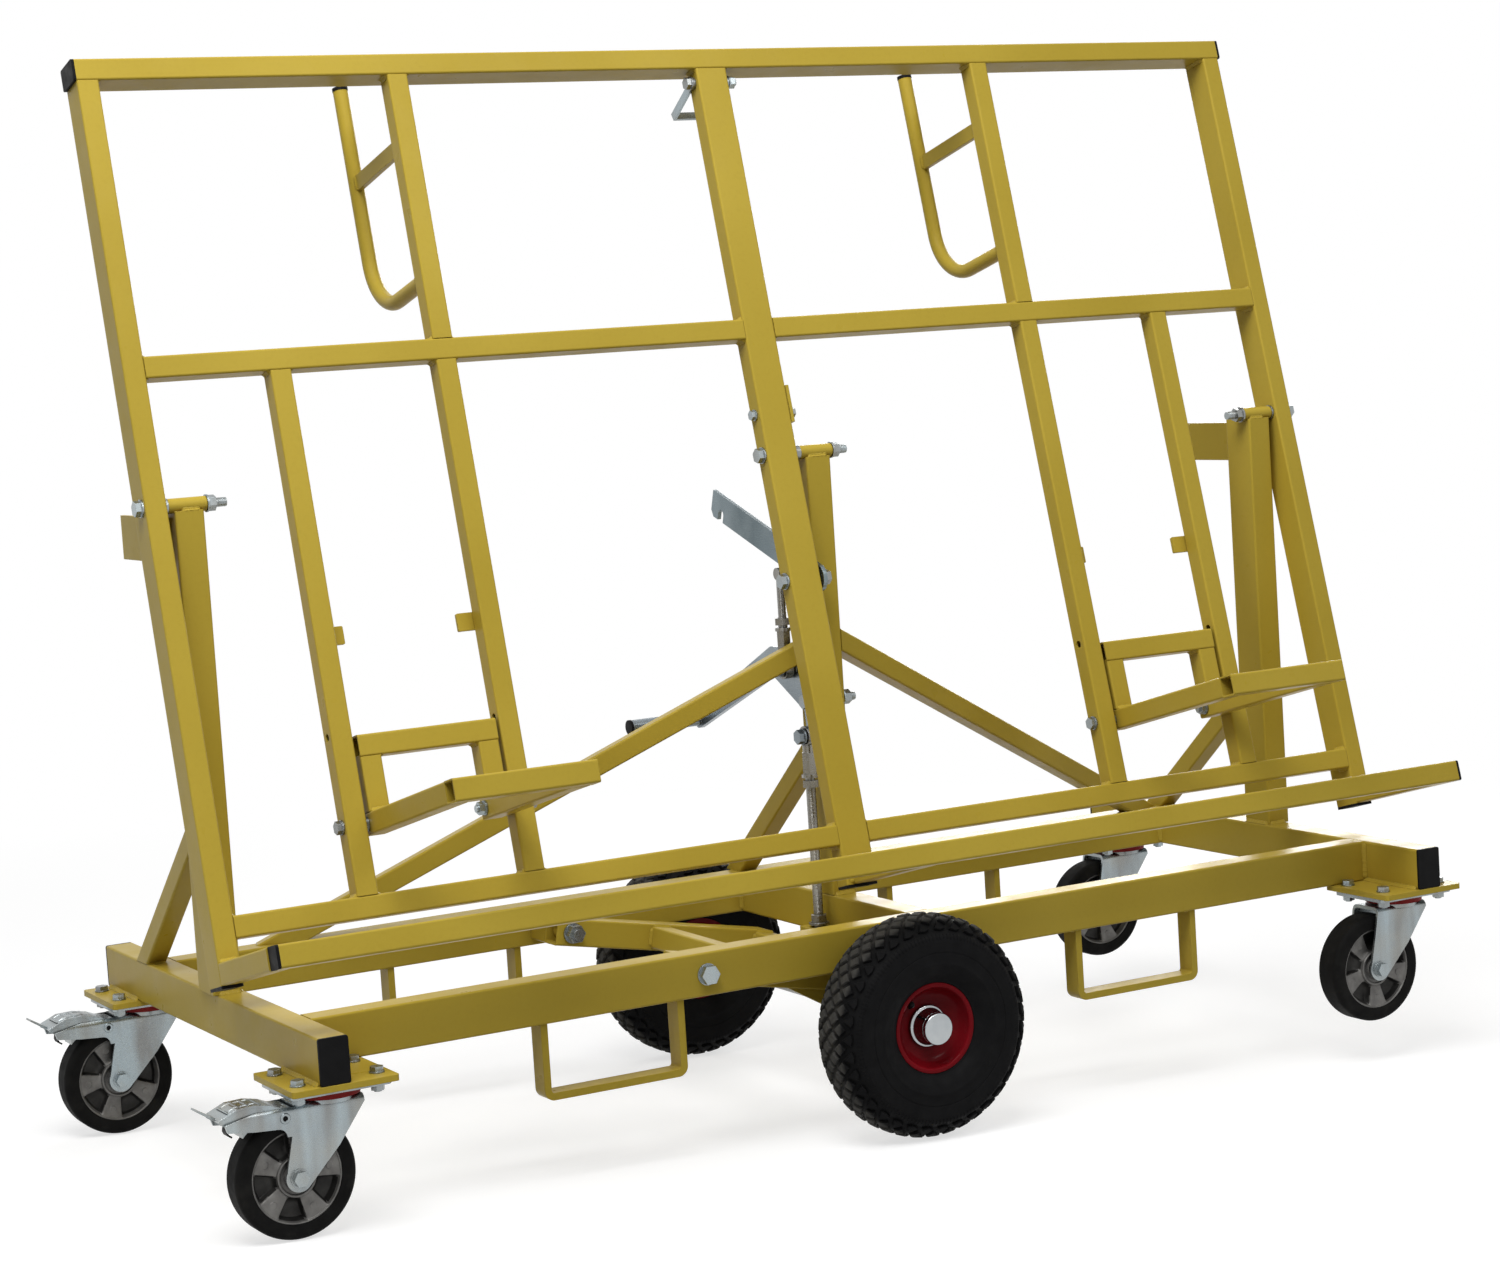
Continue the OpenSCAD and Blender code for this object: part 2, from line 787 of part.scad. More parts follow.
// Mirrors a piece across the middle of the cart
module mirror_home() {
    translate([home[0], 0, 0]) mirror([1, 0, 0]) translate([-home[0], 0, 0]) children();
}

// U-shaped bail on the upper bolt of the centre stile
module bail() {
    turn = 20;
    len = 74;
    color("silver") on_frame() translate([0, 0, bail_z]) rotate([-turn, 0, 0]) {
        for (x = [centre_x0 - 4.6, centre_x1 + 0.6]) {
            difference() {
                union() {
                    bar_x(x, x + 4, 0, 0, 9);
                    box([x, 0, -6], [x + 4, len, 6]);
                }
                bar_x(x - 1, x + 5, 0, 0, pin_r + fit);
            }
        }
        box([centre_x0 - 4.6, len, -6], [centre_x1 + 4.6, len + 4, 6]);
    }
}

// Notched stay bar beside the centre stile
stay_rise = 19;
stay_half = 20;
head_r = 6;
head_y = upper_y;
head_x1 = blade_x0 + 9;
stay_pin_y = pivot_y + stay_z * sin(frame_lean);
stay_pin_z = pivot_z + stay_z * cos(frame_lean);
under_stay = (stay_half + head_r + 0.8) / cos(stay_rise);
head_z = stay_pin_z + (head_y - stay_pin_y) * tan(stay_rise) - under_stay;
tip_dy = head_y - (pivot_y + stay_z);
tip_dz = head_z - pivot_z;
stay_over = stay_half + head_r + gap;
notch_s = sqrt(tip_dy * tip_dy + tip_dz * tip_dz - stay_over * stay_over);
module stay_bar() {
    color("silver") on_base() translate([blade_x0, stay_pin_y, stay_pin_z]) rotate([stay_rise, 0, 0]) {
        difference() {
            union() {
                bar_x(0, 6, 0, 0, stay_half);
                box([0, 0, -stay_half], [6, notch_s + 30, stay_half]);
            }
            bar_x(-1, 7, 0, 0, bolt_r + fit);
            bar_x(-1, 7, notch_s, -10, head_r + 2);
            box([-1, notch_s - head_r - 2, -stay_half - 1], [7, notch_s + head_r + 2, -10]);
            translate([-1, notch_s + 30, -stay_half]) rotate([45, 0, 0])
                cube([9, 12, 12], center = true);
        }
    }
}

// Strip of plate between two points, half widths a and b, with round ends
module strip(p, q, a, b) {
    d = q - p;
    n = [-d[1], d[0]] / norm(d);
    polygon([p + n * a, q + n * b, q - n * b, p - n * a]);
    translate(p) circle(a);
    translate(q) circle(b);
}

// Bent flat lever with its round handle and the two crank pins
module lever() {
    crank = [crank_y - lever_y, crank_z - lever_z];
    upper = [upper_y - lever_y, upper_z - lever_z];
    color("silver") on_base() translate([0, lever_y, lever_z]) {
        difference() {
            translate([blade_x0, 0, 0]) rotate([90, 0, 90]) linear_extrude(blade_x1 - blade_x0) {
                strip([0, 0], elbow, 21, 21);
                strip(elbow, grip_at, 21, 14.5);
                strip([0, 0], crank, 18, 15);
                translate(upper) circle(15);
            }
            bar_x(blade_x0 - 1, blade_x1 + 1, 0, 0, 6 + fit);
        }
        crank_pin(crank[0], crank[1]);
        crank_pin(upper[0], upper[1]);
        difference() {
            bar_x(blade_x0 - grip_len, blade_x0 + 1, grip_at[0], grip_at[1], 11);
            bar_x(blade_x0 - grip_len - 1, blade_x0 - 3, grip_at[0], grip_at[1], 9);
        }
    }
}

// Pin with a hexagon head that carries a rod end beside the lever blade
module crank_pin(y, z) {
    bar_x(blade_x0 - 18, blade_x1 + 2, y, z, 6);
    bar_x(blade_x0 - 19, blade_x0 - 16.4, y, z, 12);
    hex_x(blade_x0 - 27, blade_x0 - 19, y, z, 19);
    bar_x(blade_x0 - 1.6, blade_x0, y, z, 9);
}

// Plug in the open end of the lever handle
module lever_plug() {
    color("black") on_base() translate([0, lever_y, lever_z]) {
        bar_x(blade_x0 - grip_len - 4, blade_x0 - grip_len, grip_at[0], grip_at[1], 11.5);
        bar_x(blade_x0 - grip_len, blade_x0 - grip_len + 16, grip_at[0], grip_at[1], 9);
    }
}

// Rod end: bored eye, hexagon shank and lock nut, pointing along d
module rod_end(y, z, d) {
    difference() {
        union() {
            bar_x(rod_x - 7, rod_x + 5, y, z, 15);
            translate([rod_x - 1, y, z + (d > 0 ? 13 : -35)]) cylinder(r = 8.5, h = 22);
        }
        bar_x(rod_x - 12, rod_x + 12, y, z, 6 + fit);
    }
    hex_z(min(z + d * 24, z + d * 56), max(z + d * 24, z + d * 56), rod_x - 1, y, 19);
    translate([rod_x - 1, y, min(z + d * 56, z + d * 61)]) cylinder(r = 12, h = 5);
    hex_z(min(z + d * 65, z + d * 75), max(z + d * 65, z + d * 75), rod_x - 1, y, 22);
    translate([rod_x - 1, y, min(z + d * 56, z + d * 76)]) cylinder(r = 7, h = 20);
}

// Adjustable rod from the lever down to the swing arm
module lower_rod() {
    color("silver") on_base() {
        rod_end(crank_y, crank_z, -1);
        translate([rod_x - 1, crank_y, lug_top - 34]) cylinder(r = 7, h = crank_z - 60 - lug_top + 34);
        hex_z(lug_top + 7, lug_top + 18, rod_x - 1, crank_y, 22);
        translate([rod_x - 1, crank_y, lug_top + 4]) cylinder(r = 15, h = 3);
    }
}

// Adjustable rod from the lever up to the catch under the stay bar
module upper_rod() {
    color("silver") on_base() {
        rod_end(upper_y, upper_z, 1);
        translate([rod_x - 1, upper_y, upper_z + 60]) cylinder(r = 6, h = head_z - upper_z - 60);
        bar_x(rod_x - 7, head_x1, head_y, head_z, head_r);
        bar_x(rod_x - 7, rod_x + 5, head_y, head_z, head_r + 3);
    }
}

// Places a piece drawn along the swing arms, from their pivot
module on_arms() {
    translate([swing_x, 0, beam_mid]) rotate([0, arm_dip, 0]) children();
}

// One arm of the swing frame with its pivot boss and the hanger plate of the axle
module swing_tube(y, plate_y) {
    ax = (axle_x - swing_x) * cos(arm_dip) + (beam_mid - axle_z) * sin(arm_dip);
    az = (axle_x - swing_x) * sin(arm_dip) - (beam_mid - axle_z) * cos(arm_dip);
    tip = arm_len / cos(arm_dip);
    on_arms() {
        tube_x(-25, tip, y + arm_w / 2, 0, arm_w, arm_h, beam_wall);
        bar_y(y + 1, y + arm_w - 1, 0, 0, 14);
        translate([0, plate_y + 10, 0]) rotate([90, 0, 0]) linear_extrude(10) {
            polygon([[ax - 160, -arm_h / 2 + 1.5], [tip, -arm_h / 2 + 1.5], [tip, az - 5],
                [ax + 18, az - 18], [ax - 12, az - 22]]);
            translate([ax, az]) circle(25);
        }
    }
}

// Seat of the lower rod on the inner cross tube, level on top
module rod_seat() {
    half = 18;
    zc = arm_at_rod + 16 / cos(arm_dip) - 1.5;
    translate([rod_x - 1, crank_y + 26, 0]) rotate([90, 0, 0]) linear_extrude(52)
        polygon([[-half, zc + half * tan(arm_dip)], [half, zc - half * tan(arm_dip)],
            [half, lug_top], [-half, lug_top]]);
}

// Welded swing frame that carries the centre wheels
module swing_arm() {
    color("goldenrod") on_base() {
        difference() {
            union() {
                swing_tube(arm_front_y, arm_front_y + 4);
                swing_tube(arm_rear_y, arm_rear_y + arm_w - 14);
                on_arms() {
                    for (x = [145, (rod_x - 1 - swing_x)]) {
                        tube_y(arm_front_y + arm_w - 1.5, arm_rear_y + 1.5, x / cos(arm_dip), 0,
                            34, 32, beam_wall);
                    }
                }
                rod_seat();
            }
            for (y = [arm_front_y, arm_rear_y]) {
                bar_y(y - 1, y + arm_w + 1, swing_x, beam_mid, 8 + fit);
            }
            bar_y(arm_front_y - 1, arm_rear_y + arm_w + 1, axle_x, axle_z, 10 + fit);
            translate([rod_x - 1, crank_y, axle_z - 60]) cylinder(r = 12, h = 200);
        }
    }
}

// Round axle through the swing frame
module axle() {
    color("silver") on_base() {
        bar_y(wheel_front_y - hub_half - 2, wheel_rear_y + hub_half + 2, axle_x, axle_z, 10);
        for (s = [-1, 1]) {
            y = s < 0 ? wheel_front_y + hub_half + gap : wheel_rear_y - hub_half - gap - 4;
            bar_y(y, y + 4, axle_x, axle_z, 16);
        }
    }
}

// Chromed nuts with domed caps on the axle ends
module hub_caps() {
    color("white") on_base() {
        for (s = [-1, 1]) {
            y = s < 0 ? wheel_front_y : wheel_rear_y;
            translate([axle_x, y + s * (hub_half + gap), axle_z]) rotate([-90 * s, 0, 0]) {
                difference() {
                    union() {
                        cylinder(r = 22, h = 3);
                        cylinder(r = 17, h = 9);
                        translate([0, 0, 9]) cylinder(r1 = 17, r2 = 14.5, h = 2.5);
                    }
                    translate([0, 0, -1]) cylinder(r = 10 + fit, h = 3);
                }
            }
        }
    }
}

// Rounded section of a tyre between radius r0 and r1, half width w
module tyre_round(r0, r1, w, ro, ri) {
    translate([r0 + ri, -w]) square([r1 - ro - r0 - ri, 2 * w]);
    translate([r1 - ro - 1, -w + ro]) square([ro + 1, 2 * w - 2 * ro]);
    translate([r0, -w + ri]) square([ri + 1, 2 * w - 2 * ri]);
    for (s = [-1, 1]) {
        translate([r1 - ro, s * (w - ro)]) circle(ro);
        translate([r0 + ri, s * (w - ri)]) circle(ri);
    }
}

// Tyre wall with round shoulders, open at the beads where it sits on the rim
module tyre_section() {
    r = wheel_dia / 2;
    w = wheel_width / 2;
    difference() {
        union() {
            tyre_round(rim_r + 6.6, r, w, 38, 16);
            translate([rim_r, -rim_w + 1]) square([20, 2 * rim_w - 2]);
        }
        tyre_round(rim_r + 16, r - 12, w - 10, 28, 10);
        translate([rim_r - 1, -rim_w + 12]) square([30, 2 * rim_w - 24]);
    }
}

// Pneumatic tyre on the wheel middle at y
module tyre(y) {
    color("dimgray") on_base() translate([axle_x, y, axle_z]) rotate([90, 0, 0])
        rotate_extrude($fn = 96) tyre_section();
}

// Dished steel rim with rolled flanges, its hub tube and the valve hole
module rim(y, s) {
    r = rim_r;
    w = rim_w;
    color("firebrick") on_base() translate([axle_x, y, axle_z]) rotate([90 * s, 0, 0]) {
        difference() {
            rotate_extrude($fn = 72) {
                polygon([[r, -w], [r, w], [r + 6, w], [r + 6, w + 3], [r - 1, w + 3], [r - 3, w],
                    [r - 3, 15], [r - 16, 11], [28, 11], [19, 29], [19, hub_half], [10 + fit, hub_half],
                    [10 + fit, -hub_half], [19, -hub_half], [19, 22], [26, 7], [r - 15, 7], [r - 3, 11],
                    [r - 3, -w], [r - 1, -w - 3], [r + 6, -w - 3], [r + 6, -w]]);
            }
            rotate([0, 0, 40]) translate([0, r - 16, 0]) cylinder(r = 5, h = 40);
        }
    }
}

// Front tyre
module tyre_front() {
    tyre(wheel_front_y);
}

// Rear tyre
module tyre_rear() {
    tyre(wheel_rear_y);
}

// Front rim, dish to the front
module rim_front() {
    rim(wheel_front_y, 1);
}

// Rear rim, dish to the rear
module rim_rear() {
    rim(wheel_rear_y, -1);
}

// Caster fork sizes
fork_top = caster_height - 18;
fork_half = caster_width / 2 + 8;
fork_wall = 4;
brake_pin = [-68, fork_top - 14];
horn_reach = 146;

// Side outline of a fork in the XZ plane, swivel axis at x = 0, with the brake horn if there is one
module fork_side(braked) {
    t = caster_trail;
    low = caster_dia / 2;
    polygon([[-54, fork_top], [38, fork_top], [38, fork_top - 9], [1, low + 33],
        [-t + 13.2, low - 11.5], [-t - 17.4, low - 1], [-61, low + 52], [-55, fork_top - 7]]);
    translate([-t, low]) circle(17.5);
    if (braked) {
        polygon([[-40, fork_top], [-100, fork_top - 0.5], [-horn_reach, fork_top - 10],
            [-horn_reach + 3, fork_top - 20], [-107, fork_top - 24.5], [-77, fork_top - 26.5],
            [-50, fork_top - 26.5]]);
        difference() {
            translate([-78, fork_top - 38]) square([20, 14]);
            translate([-78, fork_top - 38]) circle(11.5);
        }
    }
}

// End section of a pressed fork: an inverted U with round shoulders
module fork_arch(half, top, r) {
    translate([-half, 0]) square([2 * half, top - r]);
    translate([-half + r, 0]) square([2 * half - 2 * r, top]);
    for (s = [-1, 1]) {
        translate([s * (half - r), top - r]) circle(r);
    }
}

// Pressed swivel fork with its race and the axle bolt
module fork(x, y, braked) {
    inner = fork_half - fork_wall;
    low = caster_dia / 2;
    color("silver") on_base() translate([x, y, tread_z]) {
        difference() {
            union() {
                intersection() {
                    translate([-160, 0, 0]) rotate([90, 0, 90]) linear_extrude(200) difference() {
                        fork_arch(fork_half, fork_top, 9);
                        fork_arch(inner, fork_top - 5, 6);
                    }
                    translate([0, fork_half + 1, 0]) rotate([90, 0, 0])
                        linear_extrude(2 * fork_half + 2) fork_side(braked);
                }
                translate([0, 0, fork_top - 5]) cylinder(r = 34, h = 10);
            }
            translate([0, 0, fork_top - 20]) cylinder(r = 8 + fit, h = 40);
            if (braked) {
                box([-horn_reach - 1, -inner, fork_top - 30], [-54, inner, fork_top + 2]);
            }
        }
        bar_y(-fork_half - 6, fork_half + 6, -caster_trail, low, 6);
        for (s = [-1, 1]) {
            translate([-caster_trail, s * fork_half, low]) rotate([-90 * s, 0, 0]) {
                cylinder(r = 12, h = 2);
                cylinder(r = 18 / sqrt(3), h = 9, $fn = 6);
            }
            translate([-caster_trail, s * inner, low]) rotate([90 * s, 0, 0])
                cylinder(r = 10, h = inner - caster_width / 2 - 0.6 - gap);
            if (braked) {
                translate([brake_pin[0], s * (fork_half + 1), brake_pin[1]]) rotate([90 * s, 0, 0])
                    cylinder(r = 4, h = fork_wall + 4);
            }
        }
    }
}

// Rubber tread of a caster wheel
module tread(x, y) {
    r = caster_dia / 2;
    w = caster_width / 2;
    color("dimgray") on_base() translate([x - caster_trail, y, tread_z + r]) rotate([90, 0, 0])
        rotate_extrude($fn = 96) {
            translate([60, -w]) square([r - 68, caster_width]);
            translate([60, -w + 8]) square([r - 60, caster_width - 16]);
            for (s = [-1, 1]) {
                translate([r - 8, s * (w - 8)]) circle(8);
            }
        }
}

// Cast wheel body with eight pockets on each side
module disc(x, y) {
    r = caster_dia / 2;
    w = caster_width / 2;
    color("lightgray") on_base() translate([x - caster_trail, y, tread_z + r]) rotate([90, 0, 0]) {
        difference() {
            rotate_extrude($fn = 96) {
                translate([52, -w + 1]) square([8, caster_width - 2]);
                translate([18, -4]) square([36, 8]);
                translate([6 + fit, -w - 0.6]) square([14, caster_width + 1.2]);
            }
        }
        for (a = [0 : 45 : 315]) {
            rotate([0, 0, a]) translate([0, 0, -w + 4]) linear_extrude(caster_width - 8)
                polygon([[17, -4], [53, -10], [53, 10], [17, 4]]);
        }
    }
}

// Foot pedal of a braked caster between the cheeks of its horn, with the shoe over the tread
module pedal(x, y) {
    t = fork_top;
    inner = fork_half - fork_wall;
    low = caster_dia / 2;
    reach = pedal_reach;
    color("silver") on_base() translate([x, y, tread_z]) rotate([90, 0, 0]) {
        translate([0, 0, -inner + gap]) linear_extrude(2 * inner - 2 * gap)
            polygon([[-57, t - 3], [-72, t - 1], [-84, t + 4], [-104, t + 8], [-reach + 47, t + 7],
                [-reach + 22, t - 4], [-reach + 23, t - 7], [-reach + 48, t + 4], [-104, t + 5],
                [-85, t + 1], [-73, t - 4], [-57, t - 6]]);
        translate([0, 0, -11]) linear_extrude(22)
            polygon([[-reach + 23, t - 6.5], [-reach, t + 9], [-reach + 1.5, t + 11],
                [-reach + 25, t - 3.5]]);
        translate([0, 0, -16]) linear_extrude(32) difference() {
            translate([-120, t - 36]) square([20, 42]);
            translate([-caster_trail, low]) circle(low + 8);
        }
        for (s = [-1, 1]) {
            translate([0, 0, s * (inner - gap - 1.25) - 1.25]) linear_extrude(2.5) difference() {
                union() {
                    translate(brake_pin) circle(8);
                    polygon([[-76, t - 14], [-60, t - 14], [-57, t - 4], [-73, t - 2],
                        [-88, t + 3], [-100, t + 5]]);
                }
                translate(brake_pin) circle(4 + fit);
            }
        }
    }
}

// Front left caster, braked
module fork_fl() {
    fork(-caster_x, -caster_y, true);
}

// Front right caster
module fork_fr() {
    fork(caster_x, -caster_y, false);
}

// Rear left caster, braked
module fork_rl() {
    fork(-caster_x, caster_y, true);
}

// Rear right caster
module fork_rr() {
    fork(caster_x, caster_y, false);
}

// Treads and wheel bodies of the four casters
module tread_fl() {
    tread(-caster_x, -caster_y);
}

module tread_fr() {
    tread(caster_x, -caster_y);
}

module tread_rl() {
    tread(-caster_x, caster_y);
}

module tread_rr() {
    tread(caster_x, caster_y);
}

module disc_fl() {
    disc(-caster_x, -caster_y);
}

module disc_fr() {
    disc(caster_x, -caster_y);
}

module disc_rl() {
    disc(-caster_x, caster_y);
}

module disc_rr() {
    disc(caster_x, caster_y);
}

// Brake pedals of the left casters
module pedal_fl() {
    pedal(-caster_x, -caster_y);
}

module pedal_rl() {
    pedal(-caster_x, caster_y);
}

end_beams();
long_rails();
cross_member();
fork_loops();
caster_plates();
beam_caps();
posts();
stop_plates();
post_braces();
long_braces();
caster_bolts();
caster_heads();
caster_seals();
swing_bolts();
pivot_stub();
lever_bolt();
top_rail();
side_stiles();
centre_stile();
cross_rails();
inner_stiles();
ledge_rail();
ledge_arms();
frame_caps();
push_handles();
stop_tabs();
tilt_bolts();
support_bolts();
latch_bolts();
support_left();
support_right();
bail();
stay_bar();
lever();
lever_plug();
lower_rod();
upper_rod();
swing_arm();
axle();
hub_caps();
tyre_front();
rim_front();
tyre_rear();
rim_rear();
fork_fl();
fork_fr();
fork_rl();
fork_rr();
tread_fl();
tread_fr();
tread_rl();
tread_rr();
disc_fl();
disc_fr();
disc_rl();
disc_rr();
pedal_fl();
pedal_rl();
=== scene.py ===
"""Drywall cart: finish, tyre treads, weld seams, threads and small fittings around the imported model."""
import json
import math
import random

import bmesh
import bpy
from mathutils import Matrix, Vector


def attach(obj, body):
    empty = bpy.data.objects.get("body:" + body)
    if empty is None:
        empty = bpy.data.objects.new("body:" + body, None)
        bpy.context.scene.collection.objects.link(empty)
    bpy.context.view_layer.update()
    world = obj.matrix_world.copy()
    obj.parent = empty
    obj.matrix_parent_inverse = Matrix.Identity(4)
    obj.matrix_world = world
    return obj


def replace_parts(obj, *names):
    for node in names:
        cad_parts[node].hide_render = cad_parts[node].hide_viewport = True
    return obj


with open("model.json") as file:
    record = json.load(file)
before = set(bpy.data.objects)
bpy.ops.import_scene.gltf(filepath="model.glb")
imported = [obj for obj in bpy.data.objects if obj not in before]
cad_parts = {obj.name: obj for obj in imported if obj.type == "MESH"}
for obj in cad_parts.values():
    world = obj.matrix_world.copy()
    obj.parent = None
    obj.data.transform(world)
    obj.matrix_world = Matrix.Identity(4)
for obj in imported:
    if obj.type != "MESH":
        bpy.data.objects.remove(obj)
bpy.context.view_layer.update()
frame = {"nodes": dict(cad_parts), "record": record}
rng = random.Random(7)

MM = 0.001
TAU = 2 * math.pi

# Chassis drawing to row frame, in millimetres
HOME = Vector((42.26, 17.276, 0.0))
LEAN = math.radians(14)
PIVOT = Vector((0.0, -50.0, 943.0))


def on_base(p):
    """A point drawn on the chassis, in millimetres, as a point of the row frame in metres."""
    return (Vector(p) + HOME) * MM


def on_frame(p):
    """A point drawn on the leaning board frame (y back, z up the stiles)."""
    x, y, z = p
    c, s = math.cos(LEAN), math.sin(LEAN)
    return (Vector((x, y * c + z * s, -y * s + z * c)) + PIVOT + HOME) * MM


# Materials
NOISE_ROUGHNESS = 0.55
NODE_SAMPLES = 4
WHITE = (1.0, 1.0, 1.0)


class Graph:
    """The node tree of one material, with short names for the nodes used here."""

    def __init__(self, name):
        self.material = bpy.data.materials.new(name)
        self.material.use_nodes = True
        self.tree = self.material.node_tree
        self.shader = self.tree.nodes["Principled BSDF"]
        self.at = self.add("TexCoord").outputs["Object"]

    def put(self, socket, value):
        """Link a socket to an output, or set its constant value."""
        if isinstance(value, bpy.types.NodeSocket):
            self.tree.links.new(value, socket)
        elif isinstance(value, tuple) and len(value) == 3 and socket.type == "RGBA":
            socket.default_value = (*value, 1.0)
        else:
            socket.default_value = value

    def add(self, kind, inputs=None, **settings):
        node = self.tree.nodes.new("ShaderNode" + kind)
        for key, value in settings.items():
            setattr(node, key, value)
        for key, value in (inputs or {}).items():
            self.put(node.inputs[key], value)
        return node

    def noise(self, scale, detail=3.0, at=None):
        node = self.add("TexNoise", {"Vector": at or self.at, "Scale": scale, "Detail": detail,
                                     "Roughness": NOISE_ROUGHNESS})
        return node.outputs["Fac"]

    def stretch(self, x, y, z):
        return self.add("Mapping", {"Vector": self.at, "Scale": (x, y, z)}).outputs["Vector"]

    def cells(self, scale):
        """Distance from the middle of soft-edged cells."""
        node = self.add("TexVoronoi", {"Vector": self.at, "Scale": scale}, feature="SMOOTH_F1")
        return node.outputs["Distance"]

    def math(self, op, a, b=0.0, clamp=False):
        node = self.add("Math", operation=op, use_clamp=clamp)
        self.put(node.inputs[0], a)
        self.put(node.inputs[1], b)
        return node.outputs[0]

    def span(self, value, lo, hi, to_lo=0.0, to_hi=1.0):
        node = self.add("MapRange", {0: value, 1: lo, 2: hi, 3: to_lo, 4: to_hi})
        return node.outputs[0]

    def mix(self, factor, a, b):
        node = self.add("Mix", data_type="RGBA")
        self.put(node.inputs[0], factor)
        self.put(node.inputs[6], a)
        self.put(node.inputs[7], b)
        return node.outputs[2]

    def bump(self, height, strength, distance, normal=None):
        node = self.add("Bump", {"Height": height, "Strength": strength, "Distance": distance})
        if normal:
            self.put(node.inputs["Normal"], normal)
        return node.outputs["Normal"]

    def edge(self, radius, gain):
        """Rounded edge normal, and a mask that is 1 on outer edges."""
        round_n = self.add("Bevel", {"Radius": radius}, samples=NODE_SAMPLES).outputs["Normal"]
        plain = self.add("NewGeometry").outputs["Normal"]
        dot = self.add("VectorMath", operation="DOT_PRODUCT")
        self.put(dot.inputs[0], round_n)
        self.put(dot.inputs[1], plain)
        mask = self.math("MULTIPLY", self.math("SUBTRACT", 1.0, dot.outputs["Value"]), gain, clamp=True)
        return round_n, mask

    def shade(self, distance):
        """Mask for painted shade: 1 in the open, lower in corners."""
        return self.add("AmbientOcclusion", {"Distance": distance}, samples=NODE_SAMPLES).outputs["AO"]

    def finish(self, **inputs):
        for key, value in inputs.items():
            self.put(self.shader.inputs[key.replace("_", " ")], value)
        return self.material


def yellow_paint():
    """Powder coat with slow changes of tone, orange peel, painted shade in the corners, and edges made lighter partly
    as wear and partly as a painted highlight.
    """
    g = Graph("powder_yellow")
    round_n, edge = g.edge(0.0014, 2.2)
    tone = g.span(g.noise(2.6, 2.0), 0.35, 0.65)
    base = g.mix(tone, (0.470, 0.340, 0.040), (0.530, 0.390, 0.052))
    fleck = g.span(g.noise(160, 3.0), 0.50, 0.72)
    base = g.mix(g.math("MULTIPLY", fleck, 0.10), base, (0.36, 0.25, 0.030))
    # Painted shade: the coat turns darker in corners, where shade falls.
    corner = g.span(g.shade(0.022), 0.35, 0.85, 0.42, 0.0)
    base = g.mix(corner, base, (0.20, 0.135, 0.018))
    # Edges lightened partly as wear and partly as a painted highlight.
    rub_and_highlight = g.math("MULTIPLY", edge, g.span(g.noise(38, 4.0), 0.52, 0.68))
    base = g.mix(g.math("MULTIPLY", rub_and_highlight, 0.45), base, (0.60, 0.50, 0.17))
    gloss = g.span(g.noise(24, 4.0), 0.3, 0.7, 0.27, 0.38)
    peel = g.bump(g.noise(430, 2.0), 0.09, 0.0006, round_n)
    wave = g.bump(g.noise(30, 1.0), 0.05, 0.002, peel)
    return g.finish(Base_Color=base, Roughness=gloss, Normal=wave, Specular_IOR_Level=0.09)


def zinc(name, dull, bright, stain):
    """Plated steel with slow bands of tint, faint spangle, painted shade in the corners and bright edges."""
    g = Graph(name)
    round_n, edge = g.edge(0.0007, 2.0)
    band = g.span(g.noise(11, 2.0, at=g.stretch(2.6, 1.0, 0.5)), 0.36, 0.64)
    base = g.mix(band, dull, bright)
    cloud = g.span(g.noise(16, 3.0), 0.42, 0.68)
    base = g.mix(g.math("MULTIPLY", cloud, 0.35), base, stain)
    spangle = g.span(g.cells(190), 0.1, 0.6, 0.03, 0.0)
    base = g.mix(spangle, base, (0.08, 0.085, 0.09))
    # Painted shade: darker in the corners.
    base = g.mix(g.span(g.shade(0.012), 0.3, 0.8, 0.55, 0.0), base, (0.10, 0.105, 0.11))
    base = g.mix(g.math("MULTIPLY", edge, 0.45), base, (0.62, 0.65, 0.67))
    brush = g.noise(60, 3.0, at=g.stretch(6.0, 1.0, 14.0))
    gloss = g.span(brush, 0.3, 0.7, 0.24, 0.34)
    grain = g.bump(brush, 0.02, 0.0003, round_n)
    return g.finish(Base_Color=base, Metallic=0.9, Roughness=gloss, Normal=grain)


def chrome():
    """Polished plating with faint smears, and painted shade darkening its corners."""
    g = Graph("polished_chrome")
    round_n, _ = g.edge(0.0012, 1.0)
    smear = g.span(g.noise(70, 4.0), 0.35, 0.75, 0.05, 0.16)
    base = g.mix(g.span(g.noise(18), 0.4, 0.7), (0.36, 0.385, 0.40), (0.44, 0.46, 0.47))
    # Painted shade: near black in the corners.
    base = g.mix(g.span(g.shade(0.014), 0.35, 0.85, 0.85, 0.0), base, (0.05, 0.05, 0.055))
    return g.finish(Base_Color=base, Metallic=1.0, Roughness=smear,
                    Normal=g.bump(g.noise(50), 0.04, 0.0006, round_n))


def black_plastic():
    """Grained caps and plugs with slightly worn edges."""
    g = Graph("moulded_black")
    round_n, edge = g.edge(0.0012, 1.8)
    base = g.mix(g.span(g.noise(40, 4.0), 0.4, 0.7), (0.0055, 0.0055, 0.0058), (0.0090, 0.0090, 0.0095))
    base = g.mix(g.math("MULTIPLY", edge, 0.5), base, (0.030, 0.030, 0.031))
    grain = g.bump(g.noise(900, 2.0), 0.25, 0.0003, round_n)
    return g.finish(Base_Color=base, Roughness=g.span(g.noise(60), 0.3, 0.7, 0.42, 0.60),
                    Normal=grain, Specular_IOR_Level=0.08)


